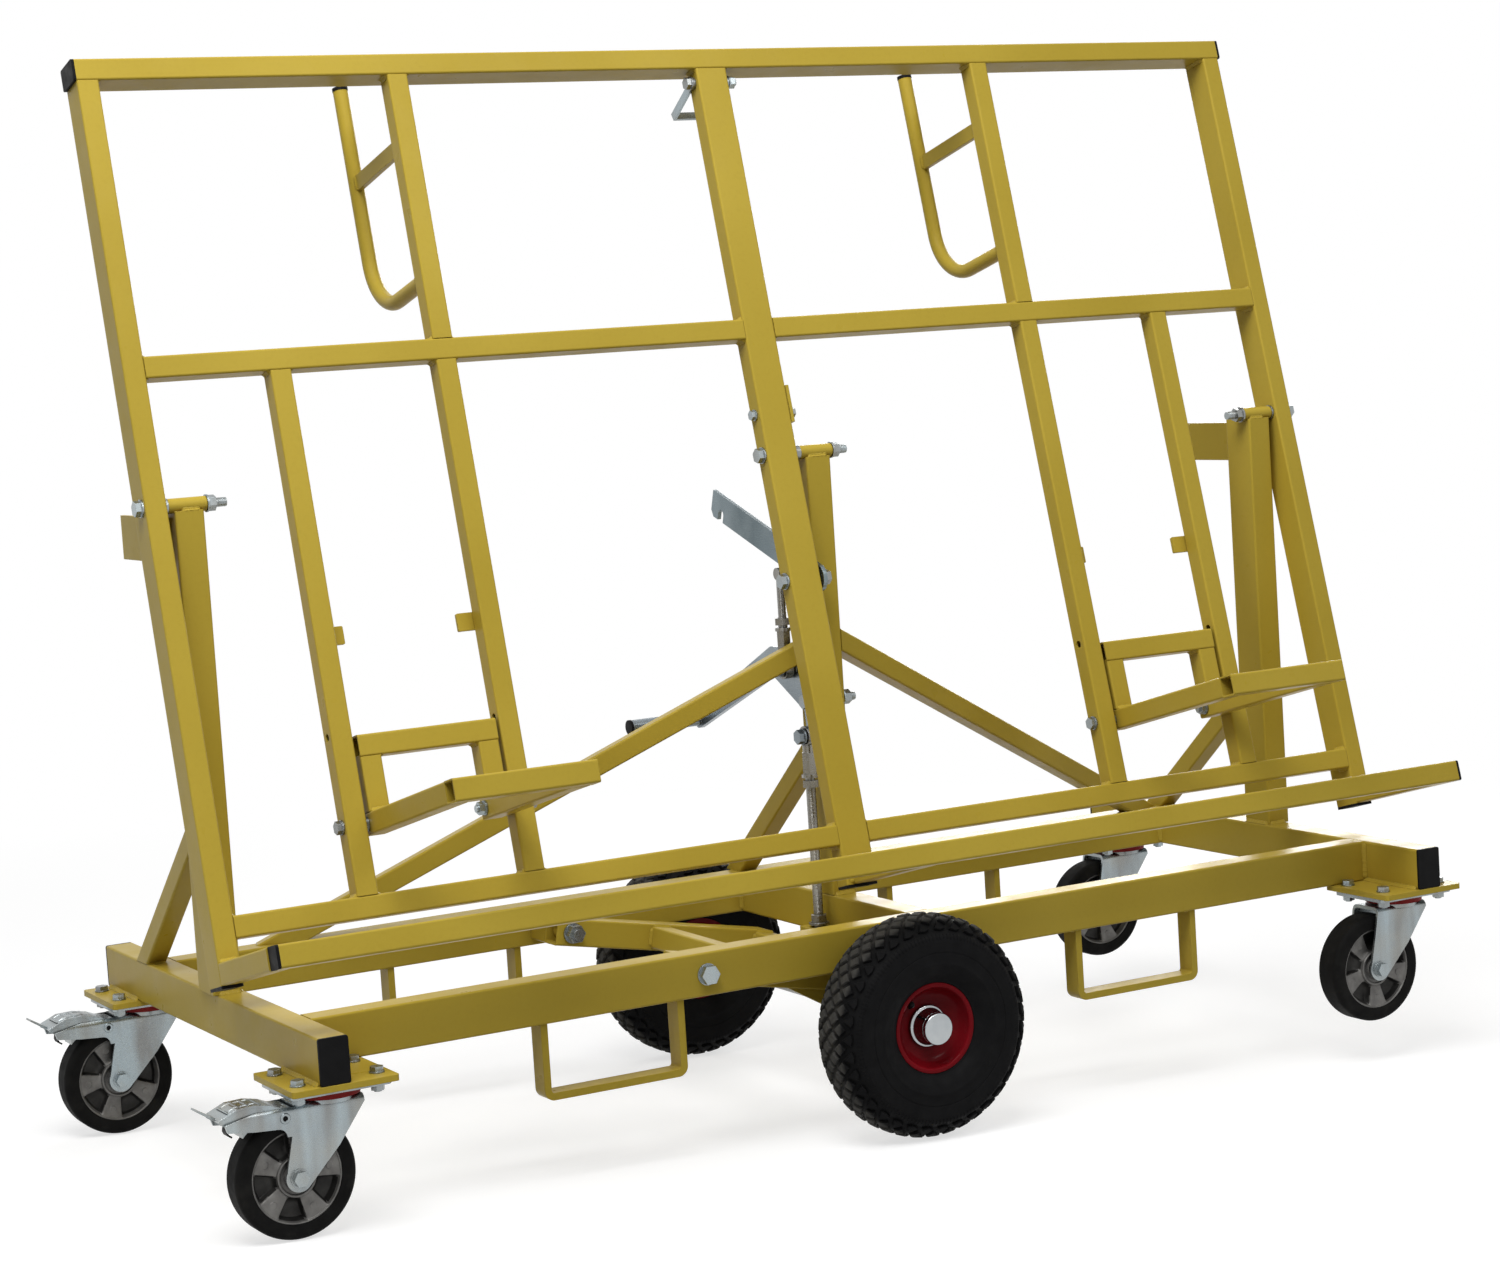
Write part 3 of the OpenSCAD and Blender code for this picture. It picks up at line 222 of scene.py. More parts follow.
def red_plastic():
    """Moulded dust rings of the casters, with painted shade in their corners."""
    g = Graph("moulded_red")
    base = g.mix(g.span(g.noise(55, 4.0), 0.35, 0.7), (0.26, 0.016, 0.016), (0.34, 0.030, 0.026))
    # Painted shade: darker red in the corners.
    base = g.mix(g.span(g.shade(0.010), 0.3, 0.8, 0.5, 0.0), base, (0.09, 0.010, 0.010))
    return g.finish(Base_Color=base, Roughness=g.span(g.noise(80), 0.3, 0.7, 0.42, 0.58),
                    Normal=g.bump(g.noise(800, 2.0), 0.2, 0.0003), Specular_IOR_Level=0.12)


def red_paint():
    """Glossy enamel of the pressed rims, with painted shade deep in the bowl."""
    g = Graph("gloss_red")
    round_n, edge = g.edge(0.0012, 1.8)
    base = g.mix(g.span(g.noise(16, 3.0), 0.35, 0.7), (0.170, 0.0035, 0.0070), (0.230, 0.0052, 0.0105))
    base = g.mix(g.math("MULTIPLY", edge, 0.35), base, (0.32, 0.03, 0.035))
    # Painted shade: darker deep in the bowl and in other hollows.
    base = g.mix(g.span(g.shade(0.050), 0.25, 0.85, 0.75, 0.0), base, (0.045, 0.0008, 0.0015))
    peel = g.bump(g.noise(340, 2.0), 0.06, 0.0005, round_n)
    return g.finish(Base_Color=base, Roughness=g.span(g.noise(30), 0.3, 0.7, 0.16, 0.26), Normal=peel,
                    Specular_IOR_Level=0.03, Coat_Weight=0.04, Coat_Roughness=0.06)


def rubber(name, low, high, worn, reach=None):
    """Matt rubber; reach gives the axle of a tyre and the radius from which the tread looks rubbed."""
    g = Graph(name)
    base = g.mix(g.span(g.noise(45, 5.0), 0.35, 0.7), low, high)
    if reach:
        (ax, az), r0, r1 = reach
        split = g.add("SeparateXYZ", {0: g.at})
        dx = g.math("SUBTRACT", split.outputs[0], ax)
        dz = g.math("SUBTRACT", split.outputs[2], az)
        far = g.math("SQRT", g.math("ADD", g.math("MULTIPLY", dx, dx), g.math("MULTIPLY", dz, dz)))
        top = g.span(far, r0, r1)
        fade = g.span(g.noise(120, 3.0), 0.3, 0.7, 0.65, 1.0)
        base = g.mix(g.math("MULTIPLY", top, fade), base, worn)
    else:
        dust = g.span(g.noise(26, 5.0), 0.52, 0.75)
        base = g.mix(g.math("MULTIPLY", dust, 0.5), base, worn)
    # Painted shade: near black in the grooves and corners.
    base = g.mix(g.span(g.shade(0.006), 0.35, 0.9, 0.6, 0.0), base, (0.003, 0.003, 0.003))
    grain = g.bump(g.noise(620, 3.0), 0.22, 0.0004)
    return g.finish(Base_Color=base, Roughness=g.span(g.noise(70), 0.3, 0.7, 0.58, 0.74), Normal=grain,
                    Specular_IOR_Level=0.06)


def cast_aluminium(name, low, high, worn):
    """Grainy casting with painted shade in its corners and bright edges."""
    g = Graph(name)
    round_n, edge = g.edge(0.0016, 1.6)
    base = g.mix(g.span(g.noise(60, 5.0), 0.35, 0.7), low, high)
    # Painted shade: near black in the corners.
    base = g.mix(g.span(g.shade(0.020), 0.30, 0.80, 0.90, 0.0), base, (0.010, 0.0098, 0.0095))
    base = g.mix(g.math("MULTIPLY", edge, 0.45), base, worn)
    grain = g.bump(g.noise(520, 4.0), 0.35, 0.0004, round_n)
    return g.finish(Base_Color=base, Metallic=0.55, Roughness=g.span(g.noise(90), 0.3, 0.7, 0.34, 0.52),
                    Normal=grain, Specular_IOR_Level=0.2)


AXLE = Vector((12.0, 0.0, 155.0))
axle_at = on_base(AXLE)
RUBBED = 0.1480, 0.1515  # radii in metres between which the tread turns pale
materials = {
    "yellow_paint": yellow_paint(),
    "zinc_plate": zinc("bright_zinc", (0.240, 0.248, 0.246), (0.355, 0.415, 0.442), (0.37, 0.355, 0.305)),
    "chrome": chrome(),
    "black_plastic": black_plastic(),
    "red_plastic": red_plastic(),
    "red_paint": red_paint(),
    "tyre": rubber("tyre_rubber", (0.0062, 0.0062, 0.0066), (0.0092, 0.0092, 0.0096), (0.082, 0.080, 0.075),
                   ((axle_at.x, axle_at.z), *RUBBED)),
    "caster_rubber": rubber("caster_rubber", (0.0068, 0.0067, 0.0066), (0.0115, 0.0113, 0.0108),
                            (0.030, 0.029, 0.026)),
    "cast_aluminium": cast_aluminium("cast_aluminium", (0.130, 0.126, 0.120), (0.205, 0.200, 0.190),
                                     (0.36, 0.36, 0.35)),
}
for part in frame["record"]["subparts"]:
    for place in frame["nodes"][part["node"]].material_slots:
        place.material = materials[part["material_slot"]]
# A much darker casting for the recessed pockets of the caster centres, as painted shade.
pocket_painted_shade = cast_aluminium("cast_pocket_painted_shade", (0.026, 0.025, 0.024), (0.046, 0.045, 0.042),
                               (0.10, 0.10, 0.095))
rod_steel = zinc("rod_steel", (0.190, 0.183, 0.168), (0.330, 0.325, 0.305), (0.30, 0.275, 0.220))
stay_zinc = zinc("stay_zinc", (0.110, 0.145, 0.160), (0.205, 0.250, 0.270), (0.26, 0.30, 0.31))
lever_zinc = zinc("lever_zinc", (0.170, 0.195, 0.215), (0.270, 0.310, 0.335), (0.30, 0.32, 0.32))
for node, finish in (("lower_rod", rod_steel), ("upper_rod", rod_steel), ("stay_bar", stay_zinc),
                     ("lever", lever_zinc)):
    for place in frame["nodes"][node].material_slots:
        place.material = finish


# Pieces
SHARP = math.radians(38)


class Mesh:
    """Points in metres in the row frame, and faces, gathered from several forms into one piece."""

    def __init__(self):
        self.points, self.faces = [], []

    def loft(self, rings, closed=False, caps=True):
        """Skin over rings with the same number of points each."""
        n, start = len(rings[0]), len(self.points)
        for ring in rings:
            self.points.extend(ring)
        count = len(rings)
        for i in range(count if closed else count - 1):
            a, b = start + i * n, start + (i + 1) % count * n
            for j in range(n):
                k = (j + 1) % n
                self.faces.append((a + j, a + k, b + k, b + j))
        if caps and not closed:
            self.faces.append(tuple(start + j for j in reversed(range(n))))
            self.faces.append(tuple(start + (count - 1) * n + j for j in range(n)))

    def make(self, name, body, slot, finish=None):
        """The piece, smooth up to sharp edges, riding on its body."""
        mesh = bpy.data.meshes.new(name)
        mesh.from_pydata([tuple(p) for p in self.points], [], self.faces)
        mesh.validate()
        work = bmesh.new()
        work.from_mesh(mesh)
        bmesh.ops.recalc_face_normals(work, faces=work.faces)
        work.to_mesh(mesh)
        work.free()
        for face in mesh.polygons:
            face.use_smooth = True
        obj = bpy.data.objects.new(name, mesh)
        bpy.context.scene.collection.objects.link(obj)
        mesh.materials.append(finish or materials[slot])
        mesh.set_sharp_from_angle(angle=SHARP)
        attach(obj, body)
        return obj


# Tyres: grooved carcass with rows of diamond lugs and ribbed shoulders
TYRE_R, TYRE_HALF = 155.0, 47.5
CROWN_FLAT, SHOULDER_R = 9.5, 38.0
LUG_H, LUG_N, LUG_STEP, LUG_SHARE = 4.6, 35, 14.0, 0.63
GROOVE_END, GROOVE_FADE = 57.0, 10.0
SECTION_STEPS, TYRE_TURNS = 34, 140
# Side wall from the shoulder to the bead, as (radius, width)
WALL = ((112, 47.5), (107.6, 47.5), (107.0, 46.9), (105.4, 46.9), (104.8, 47.5), (98, 47.4), (93, 47.0),
        (91.6, 47.6), (89.6, 47.6), (88, 46.6), (82, 45.0), (76, 42.2), (71, 38.6), (67, 34.8),
        (66.2, 34.2), (64.2, 34.2), (63.4, 33.2), (63.4, 30.2))
# Depth below the tread and size of the three rings of a lug
LUG_LEVELS = ((-1.2 - LUG_H, 1.12), (-LUG_H * 0.12, 1.0), (0.0, 0.92))
LUG_CORNERS, LUG_SIDE, LUG_ROWS = 4, (0.0, 0.25, 0.5, 0.75), 2
DIAMOND = ((-1, 0), (0, 1), (1, 0), (0, -1))
SHOULDER_LUG = ((-1, 0), (0.35, 1.02), (0.62, 0), (0.35, -1.02))
# Ribs of the shoulder: place along the section, rise and half width in radians
RIBS = ((51.0, -0.3, 0.003), (55.0, 0.9, 0.006), (60.0, 0.9, 0.006), (64.0, -0.3, 0.003))
RIBS_PER_LUG, RIB_ROOT, RIB_TOP = 4, 0.5, 0.4


def tread_at(s):
    """Point (radius, width) and outward normal of the tyre's outer face, s along it from the crown."""
    sign = 1 if s >= 0 else -1
    t = abs(s)
    if t <= CROWN_FLAT:
        return (TYRE_R, s), (1.0, 0.0)
    a = (t - CROWN_FLAT) / SHOULDER_R
    return ((TYRE_R - SHOULDER_R + SHOULDER_R * math.cos(a), sign * (CROWN_FLAT + SHOULDER_R * math.sin(a))),
            (math.cos(a), sign * math.sin(a)))


def groove(s):
    """Depth of the grooves, which run out on the shoulder."""
    return LUG_H * min(1.0, max(0.0, (GROOVE_END - s) / GROOVE_FADE))


def carcass_profile():
    """Closed outline of the tyre section from bead to bead, as (radius, width)."""
    side = []
    top = CROWN_FLAT + SHOULDER_R * math.pi / 2
    for i in range(SECTION_STEPS + 1):
        s = top * i / SECTION_STEPS
        (r, w), (nr, nw) = tread_at(s)
        side.append((r - nr * groove(s), w - nw * groove(s)))
    side += WALL
    left = [(r, -w) for r, w in reversed(side)]
    return left[:-1] + side


def tyre(name, node, body, y):
    """Tyre with its middle at y on the axle, in place of the plain node."""
    mesh = Mesh()
    outline = carcass_profile()

    def at(r, w, a):
        return on_base((AXLE.x + r * math.sin(a), y + w, AXLE.z + r * math.cos(a)))

    mesh.loft([[at(r, w, TAU * i / TYRE_TURNS) for r, w in outline] for i in range(TYRE_TURNS)], closed=True)
    pitch = TAU / LUG_N
    half_s, half_a = LUG_STEP * LUG_SHARE, pitch / 2 * LUG_SHARE

    def lug(s0, a0, corners):
        """A lug over a four-sided patch given by its corners in units of half diagonals."""
        rings = []
        for rise, grow in LUG_LEVELS:
            ring = []
            for k in range(LUG_CORNERS):
                (u0, v0), (u1, v1) = corners[k], corners[(k + 1) % LUG_CORNERS]
                for t in LUG_SIDE:
                    u = (u0 + (u1 - u0) * t) * grow
                    v = (v0 + (v1 - v0) * t) * grow
                    (r, w), (nr, nw) = tread_at(s0 + u * half_s)
                    ring.append(at(r + nr * rise, w + nw * rise, a0 + v * half_a))
            rings.append(ring)
        mesh.loft(rings, caps=False)
        n = len(rings[-1])
        top = len(mesh.points) - n
        (r, w), _ = tread_at(s0 + half_s * sum(c[0] for c in corners) / LUG_CORNERS)
        mesh.points.append(at(r, w, a0 + half_a * sum(c[1] for c in corners) / LUG_CORNERS))
        mid = len(mesh.points) - 1
        for j in range(n):
            mesh.faces.append((top + j, top + (j + 1) % n, mid))

    for row in range(-LUG_ROWS, LUG_ROWS + 1):
        for i in range(LUG_N):
            lug(row * LUG_STEP, (i + 0.5 * (row % 2)) * pitch, DIAMOND)
    for side in (-1, 1):
        edge = [(u * side, v * side) for u, v in SHOULDER_LUG]
        for i in range(LUG_N):
            lug(side * (LUG_ROWS + 1) * LUG_STEP, (i + 0.5) * pitch, edge)
        ribs = RIBS_PER_LUG * LUG_N
        for i in range(ribs):
            a = TAU * (i + 0.5) / ribs
            rings = []
            for s, lift, wide in RIBS:
                (r, w), (nr, nw) = tread_at(side * s)
                root, crest = groove(s) + RIB_ROOT, groove(s) - lift
                rings.append([at(r - nr * root, w - nw * root, a - wide * side),
                              at(r - nr * crest, w - nw * crest, a - wide * RIB_TOP * side),
                              at(r - nr * crest, w - nw * crest, a + wide * RIB_TOP * side),
                              at(r - nr * root, w - nw * root, a + wide * side)])
            mesh.loft(rings)
    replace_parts(mesh.make(name, body, "tyre"), node)


RAIL_FRONT, RAIL_REAR, WHEEL_GAP = -298, 262, 14.5
WHEEL_FRONT_Y, WHEEL_REAR_Y = RAIL_FRONT - WHEEL_GAP - TYRE_HALF, RAIL_REAR + WHEEL_GAP + TYRE_HALF
tyre("tyre_front_lugged", "tyre_front", "wheel_front", WHEEL_FRONT_Y)
tyre("tyre_rear_lugged", "tyre_rear", "wheel_rear", WHEEL_REAR_Y)


# Weld beads in the inside corners of the tube joints
BEAD_STEP, BEAD_LEAST, BEAD_LEG, BEAD_ROOT = 0.9, 6, 5.0, 0.8
RING_LEG, STAY_LEG, STAY_END_LEG, LOOP_LEG, SEAT_LEG, ARM_LEG = 4.0, 3.5, 3.0, 4, 5.2, 4
END_SIZE, END_RUN = 0.45, 4.0
CREST, SWELL, SWELL_RATE, RIPPLE = 0.36, 0.05, 0.9, 3.1


class Welds(Mesh):
    """Fillet beads with rippled faces; place maps drawing points to the row frame."""

    def __init__(self, place):
        super().__init__()
        self.place = place

    def follow(self, path, closed=False, leg=BEAD_LEG):
        """A bead along (point, face direction, face direction) steps."""
        rings = []
        phase = rng.uniform(0, TAU)
        last = len(path) - 1
        for i, (p, u, v) in enumerate(path):
            along = i * BEAD_STEP
            ends = 1.0 if closed else min(1.0, END_SIZE + min(i, last - i) * BEAD_STEP / END_RUN)
            size = leg * ends * (1 + SWELL * math.sin(along * SWELL_RATE + phase))
            crest = CREST + SWELL * math.sin(TAU * along / RIPPLE + phase)
            p, u, v = Vector(p), Vector(u), Vector(v)
            both = u + v
            rings.append([self.place(p + u * size), self.place(p + both * size * crest),
                          self.place(p + v * size), self.place(p - both * BEAD_ROOT)])
        self.loft(rings, closed)

    def bead(self, a, b, u, v, leg=BEAD_LEG):
        """A straight bead from a to b, in the corner of faces that run along u and v."""
        a, b = Vector(a), Vector(b)
        n = max(BEAD_LEAST, round((b - a).length / BEAD_STEP))
        self.follow([(a.lerp(b, i / n), u, v) for i in range(n + 1)], leg=leg)

    def ring(self, centre, axis, radius):
        """A bead round a tube that stands on a face with this outward axis."""
        axis = Vector(axis)
        side = axis.orthogonal().normalized()
        other = axis.cross(side)
        n = round(TAU * radius / BEAD_STEP)
        path = []
        for i in range(n):
            out = side * math.cos(TAU * i / n) + other * math.sin(TAU * i / n)
            path.append((Vector(centre) + out * radius, out, axis))
        self.follow(path, True, RING_LEG)


UP, DOWN, BACK, FRONT = (0, 0, 1), (0, 0, -1), (0, 1, 0), (0, -1, 0)
STILE_IN, CENTRE_L, CENTRE_R = 911, -10, 40
TOP_UNDER, MID_TOP, MID_UNDER, LOW_TOP, LOW_UNDER = 580, 200, 170, -543, -573
TUBE, TUBE_HALF, SEAM_FRONT, SEAM_BACK, TOP_SEAM_BACK = 30, 15, -12, 13, 32
SEAM_IN, BEAM_SEAM, SEAM_SHORT = 2, 3, 12  # how far beads stop from an edge, and half of a short one
INNER_STILE, OUTER_STILE, HANDLE_X = 467, 709, 482
HANDLE_FOOT, HANDLE_R, STAY_LOW, STAY_TOP, STAY_HALF, STAY_REACH = 290, 11, 476, 496, 4, 182.6
LEDGE_BACK, ARM_LOW, ARM_TOP, ARM_FACE, ARM_X = -202, -628, -602, -600, 0


def frame_welds():
    """Beads of the board frame, its ledge and its push handles."""
    w = Welds(on_frame)
    for x, d in ((-STILE_IN, 1), (CENTRE_L, -1), (CENTRE_R, 1), (STILE_IN, -1)):
        for under, over in ((MID_UNDER, MID_TOP), (LOW_UNDER, LOW_TOP)):
            w.bead((x, SEAM_FRONT, over), (x, SEAM_BACK, over), (d, 0, 0), UP)
            w.bead((x, SEAM_FRONT, under), (x, SEAM_BACK, under), (d, 0, 0), DOWN)
            if abs(x) == STILE_IN:
                w.bead((x, TUBE_HALF, under + SEAM_IN), (x, TUBE_HALF, over - SEAM_IN), (d, 0, 0), BACK)
    for s in (-1, 1):
        for x0, foot, head in ((INNER_STILE, MID_TOP, TOP_UNDER), (INNER_STILE, LOW_TOP, MID_UNDER),
                               (OUTER_STILE, LOW_TOP, MID_UNDER)):
            for x, d in ((x0, -s), (x0 + TUBE, s)):
                w.bead((s * x, SEAM_FRONT, foot), (s * x, SEAM_BACK, foot), (d, 0, 0), UP)
                w.bead((s * x, SEAM_FRONT, head), (s * x, SEAM_BACK, head), (d, 0, 0), DOWN)
            if head == TOP_UNDER:
                w.bead((s * (x0 + SEAM_IN), TUBE_HALF, head), (s * (x0 + TUBE - SEAM_IN), TUBE_HALF, head), BACK, DOWN)
        x = s * STILE_IN
        w.bead((x, SEAM_FRONT, TOP_UNDER), (x, TOP_SEAM_BACK, TOP_UNDER), (-s, 0, 0), DOWN)
        w.bead((x, LEDGE_BACK, ARM_LOW), (x, LEDGE_BACK, ARM_TOP), (-s, 0, 0), BACK)
        w.bead((x + s * SEAM_IN, -TUBE_HALF, ARM_FACE), (x + s * (TUBE - SEAM_IN), -TUBE_HALF, ARM_FACE), FRONT, UP)
        w.ring((s * HANDLE_X, TUBE_HALF, HANDLE_FOOT), BACK, HANDLE_R)
        for d in (-1, 1):
            x = s * HANDLE_X + STAY_HALF * d
            w.bead((x, TUBE_HALF, STAY_LOW), (x, TUBE_HALF, STAY_TOP), (d, 0, 0), BACK, STAY_LEG)
            w.bead((x, STAY_REACH, STAY_LOW), (x, STAY_REACH, STAY_TOP), (d, 0, 0), FRONT, STAY_END_LEG)
    for x, d in ((CENTRE_L, -1), (CENTRE_R, 1)):
        w.bead((x, SEAM_FRONT, TOP_UNDER), (x, SEAM_BACK, TOP_UNDER), (d, 0, 0), DOWN)
    w.bead((CENTRE_L + BEAM_SEAM, TUBE_HALF, TOP_UNDER), (CENTRE_R - BEAM_SEAM, TUBE_HALF, TOP_UNDER), BACK, DOWN)
    w.bead((ARM_X + SEAM_IN, -TUBE_HALF, ARM_FACE), (ARM_X + TUBE - SEAM_IN, -TUBE_HALF, ARM_FACE), FRONT, UP)
    for x, d in ((ARM_X, -1), (ARM_X + TUBE, 1)):
        w.bead((x, -TUBE_HALF, ARM_LOW), (x, -TUBE_HALF, ARM_TOP), (d, 0, 0), FRONT)
        w.bead((x, LEDGE_BACK, ARM_LOW), (x, LEDGE_BACK, ARM_TOP), (d, 0, 0), BACK)
    w.make("frame_welds", "tilt_frame", "yellow_paint")


BEAM_IN, BEAM_OUT, BEAM_LOW, BEAM_TOP = 854, 894, 232, 292
POST_IN, POST_FRONT, POST_REAR, POST_HEAD = 860, -62, -2, 936
BRACES = (-880, 76, 880)
RAIL_DEEP, CROSS_L, CROSS_R = 40, 56, 96
LOOP_X, LOOP_FEET = 428, ((-107, -1), (-97, 1), (97, -1), (107, 1))
PLATE_NEAR, PLATE_FAR = 285, 413
BRACE_DOWN, BRACE_HEAD, BRACE_FOOT = Vector((0, 256, -212)).normalized(), 523.5, 230.5
# Seats of the pivot tubes on the posts: ends, half width, and direction up the tube's side
TUBE_SEATS, SEAT_HALF, SEAT_OUT, SEAT_UP = ((-890, -864), (60, 92), (864, 890)), 7.1, 0.5, 0.86


def base_welds():
    """Beads of the chassis, its posts, braces and fork loops."""
    w = Welds(on_base)
    for s in (-1, 1):
        for y, d in ((RAIL_FRONT, FRONT), (RAIL_FRONT + RAIL_DEEP, BACK),
                     (RAIL_REAR - RAIL_DEEP, FRONT), (RAIL_REAR, BACK)):
            w.bead((s * BEAM_IN, y, BEAM_LOW + BEAM_SEAM), (s * BEAM_IN, y, BEAM_TOP - BEAM_SEAM), (-s, 0, 0), d)
        inner, outer = s * (POST_IN + SEAM_IN), s * (BEAM_OUT - SEAM_IN)
        w.bead((inner, POST_FRONT, BEAM_TOP), (outer, POST_FRONT, BEAM_TOP), FRONT, UP)
        w.bead((inner, POST_REAR, BEAM_TOP), (outer, POST_REAR, BEAM_TOP), BACK, UP)
        w.bead((s * POST_IN, POST_FRONT + BEAM_SEAM, BEAM_TOP), (s * POST_IN, POST_REAR - BEAM_SEAM, BEAM_TOP),
               (-s, 0, 0), UP)
        for side in (-1, 1):
            for x, d in ((BEAM_IN, -s), (BEAM_OUT, s)):
                w.bead((s * x, side * PLATE_NEAR, BEAM_LOW), (s * x, side * PLATE_FAR, BEAM_LOW), (d, 0, 0), UP)
        for y in (RAIL_FRONT + RAIL_DEEP / 2, RAIL_REAR - RAIL_DEEP / 2):
            for x, d in LOOP_FEET:
                foot = x + s * LOOP_X
                w.bead((foot, y - SEAM_SHORT, BEAM_LOW), (foot, y + SEAM_SHORT, BEAM_LOW), (d, 0, 0), DOWN,
                       LOOP_LEG)
    for x, d in ((CROSS_L, -1), (CROSS_R, 1)):
        for y, way in ((RAIL_FRONT + RAIL_DEEP, BACK), (RAIL_REAR - RAIL_DEEP, FRONT)):
            w.bead((x, y, BEAM_LOW + BEAM_SEAM), (x, y, BEAM_TOP - BEAM_SEAM), (d, 0, 0), way)
    for y, way in ((POST_FRONT, FRONT), (POST_REAR, BACK)):
        w.bead((CROSS_L + BEAM_SEAM, y, BEAM_TOP), (CROSS_R - BEAM_SEAM, y, BEAM_TOP), way, UP)
    for x in BRACES:
        w.bead((x - SEAM_SHORT, BRACE_FOOT, BEAM_TOP), (x + SEAM_SHORT, BRACE_FOOT, BEAM_TOP), FRONT, UP)
        w.bead((x - SEAM_SHORT, POST_REAR, BRACE_HEAD), (x + SEAM_SHORT, POST_REAR, BRACE_HEAD), UP, BRACE_DOWN)
    for x0, x1 in TUBE_SEATS:
        for d in (-1, 1):
            y = PIVOT.y + d * SEAT_HALF
            w.bead((x0, y, POST_HEAD), (x1, y, POST_HEAD), (0, d, 0), (0, SEAT_OUT * d, SEAT_UP), SEAT_LEG)
    w.make("chassis_welds", "base", "yellow_paint")


SUPPORT_L, SUPPORT_R = 502, 673
HEAD_UNDER, SHELF_TOP, SHELF_BACK = -361, -434, -275


def support_welds(s, body):
    """Beads of one fold-out support; s mirrors the drawing for the left one."""
    w = Welds(lambda p: on_frame((p[0] * s, p[1], p[2])))
    for x, d in ((SUPPORT_L + TUBE, 1), (SUPPORT_R, -1)):
        w.bead((x, SEAM_FRONT, HEAD_UNDER), (x, SEAM_BACK, HEAD_UNDER), (d, 0, 0), DOWN)
        w.bead((x, SHELF_BACK, SHELF_TOP - TUBE + SEAM_IN), (x, SHELF_BACK, SHELF_TOP - SEAM_IN), (d, 0, 0), BACK)
    for x in (SUPPORT_L, SUPPORT_R):
        w.bead((x + SEAM_IN, -TUBE_HALF, SHELF_TOP), (x + TUBE - SEAM_IN, -TUBE_HALF, SHELF_TOP), FRONT, UP)
    w.make(body + "_welds", body, "yellow_paint")


SWING_AT = Vector((-285, 0, 262))
ARM_DIP = math.atan2(58, 297)


def on_arm(p):
    """A point drawn along the swing arms, from their pivot."""
    x, y, z = p
    c, s = math.cos(ARM_DIP), math.sin(ARM_DIP)
    return on_base(SWING_AT + Vector((x * c + z * s, y, z * c - x * s)))


# Cross tubes of the swing arm: places, half sizes, half lengths of the beads and faces of the arms
CROSS_TUBES, CROSS_WIDE, CROSS_HIGH = (147.7, 324.0), 17, 16
SEAM_WIDE, SEAM_HIGH = 14, 13
ARM_FACES = ((-214, BACK), (118, FRONT))


def arm_welds():
    """Beads of the cross tubes between the swing arms."""
    w = Welds(on_arm)
    for x in CROSS_TUBES:
        for y, d in ARM_FACES:
            w.bead((x - SEAM_WIDE, y, CROSS_HIGH), (x + SEAM_WIDE, y, CROSS_HIGH), UP, d, ARM_LEG)
            w.bead((x - SEAM_WIDE, y, -CROSS_HIGH), (x + SEAM_WIDE, y, -CROSS_HIGH), DOWN, d, ARM_LEG)
            for side in (-1, 1):
                edge = x + side * CROSS_WIDE
                w.bead((edge, y, -SEAM_HIGH), (edge, y, SEAM_HIGH), (side, 0, 0), d, ARM_LEG)
    w.make("swing_arm_welds", "swing_arm", "yellow_paint")


frame_welds()
base_welds()
arm_welds()
support_welds(-1, "support_left")
support_welds(1, "support_right")


# Threads of the adjusting rods and of the long bolt ends
M12, M14 = (6, 1.75), (7, 2.0)  # radius and pitch
PER_TURN, THREAD_ROOT, THREAD_RISE, THREAD_FLANK = 14, 0.3, 0.4, 0.44


def thread(mesh, place, a, b, size):
    """A raised thread of this size from a to b."""
    radius, pitch = size
    a, b = Vector(a), Vector(b)
    axis = (b - a).normalized()
    side = axis.orthogonal().normalized()
    other = axis.cross(side)
    steps = int((b - a).length / pitch * PER_TURN)
    rings = []
    for i in range(steps + 1):
        t = i / PER_TURN
        out = side * math.cos(TAU * t) + other * math.sin(TAU * t)
        mid = a + axis * (t * pitch)
        fade = min(1.0, i / PER_TURN, (steps - i) / PER_TURN)
        rings.append([place(mid + out * (radius - THREAD_ROOT) - axis * pitch * THREAD_FLANK),
                      place(mid + out * (radius + THREAD_RISE * fade)),
                      place(mid + out * (radius - THREAD_ROOT) + axis * pitch * THREAD_FLANK)])
    mesh.loft(rings)


def threads(name, body, place, size, runs, finish=None):
    """One piece with a thread over each run from a to b."""
    mesh = Mesh()
    for a, b in runs:
        thread(mesh, place, a, b, size)
    mesh.make(name, body, "zinc_plate", finish)


# Axes of the rods and of the lever bolt, and from where to where their threads run
LOWER_ROD, LOWER_RUNS = (33.0, -54.36), ((268, 454), (216, 250))
UPPER_ROD, UPPER_RUN = (33.0, -2.0), (704, 752)
LEVER_BOLT, LEVER_RUN = (-50, 580), (110, 117.4)
TILT_RUNS = ((-840, -826.5), (840, 826.5), (116, 127.5))
threads("lower_rod_thread", "lower_rod", on_base, M14, [[(*LOWER_ROD, z) for z in run] for run in LOWER_RUNS],
        rod_steel)
threads("upper_rod_thread", "upper_rod", on_base, M12, [[(*UPPER_ROD, z) for z in UPPER_RUN]], rod_steel)
threads("tilt_bolt_threads", "tilt_frame", on_frame, M12, [[(x, 0, 0) for x in run] for run in TILT_RUNS])
threads("lever_bolt_thread", "base", on_base, M12, [[(x, *LEVER_BOLT) for x in LEVER_RUN]])


# Small fittings of the wheels and casters
STEM_SIDES = 14


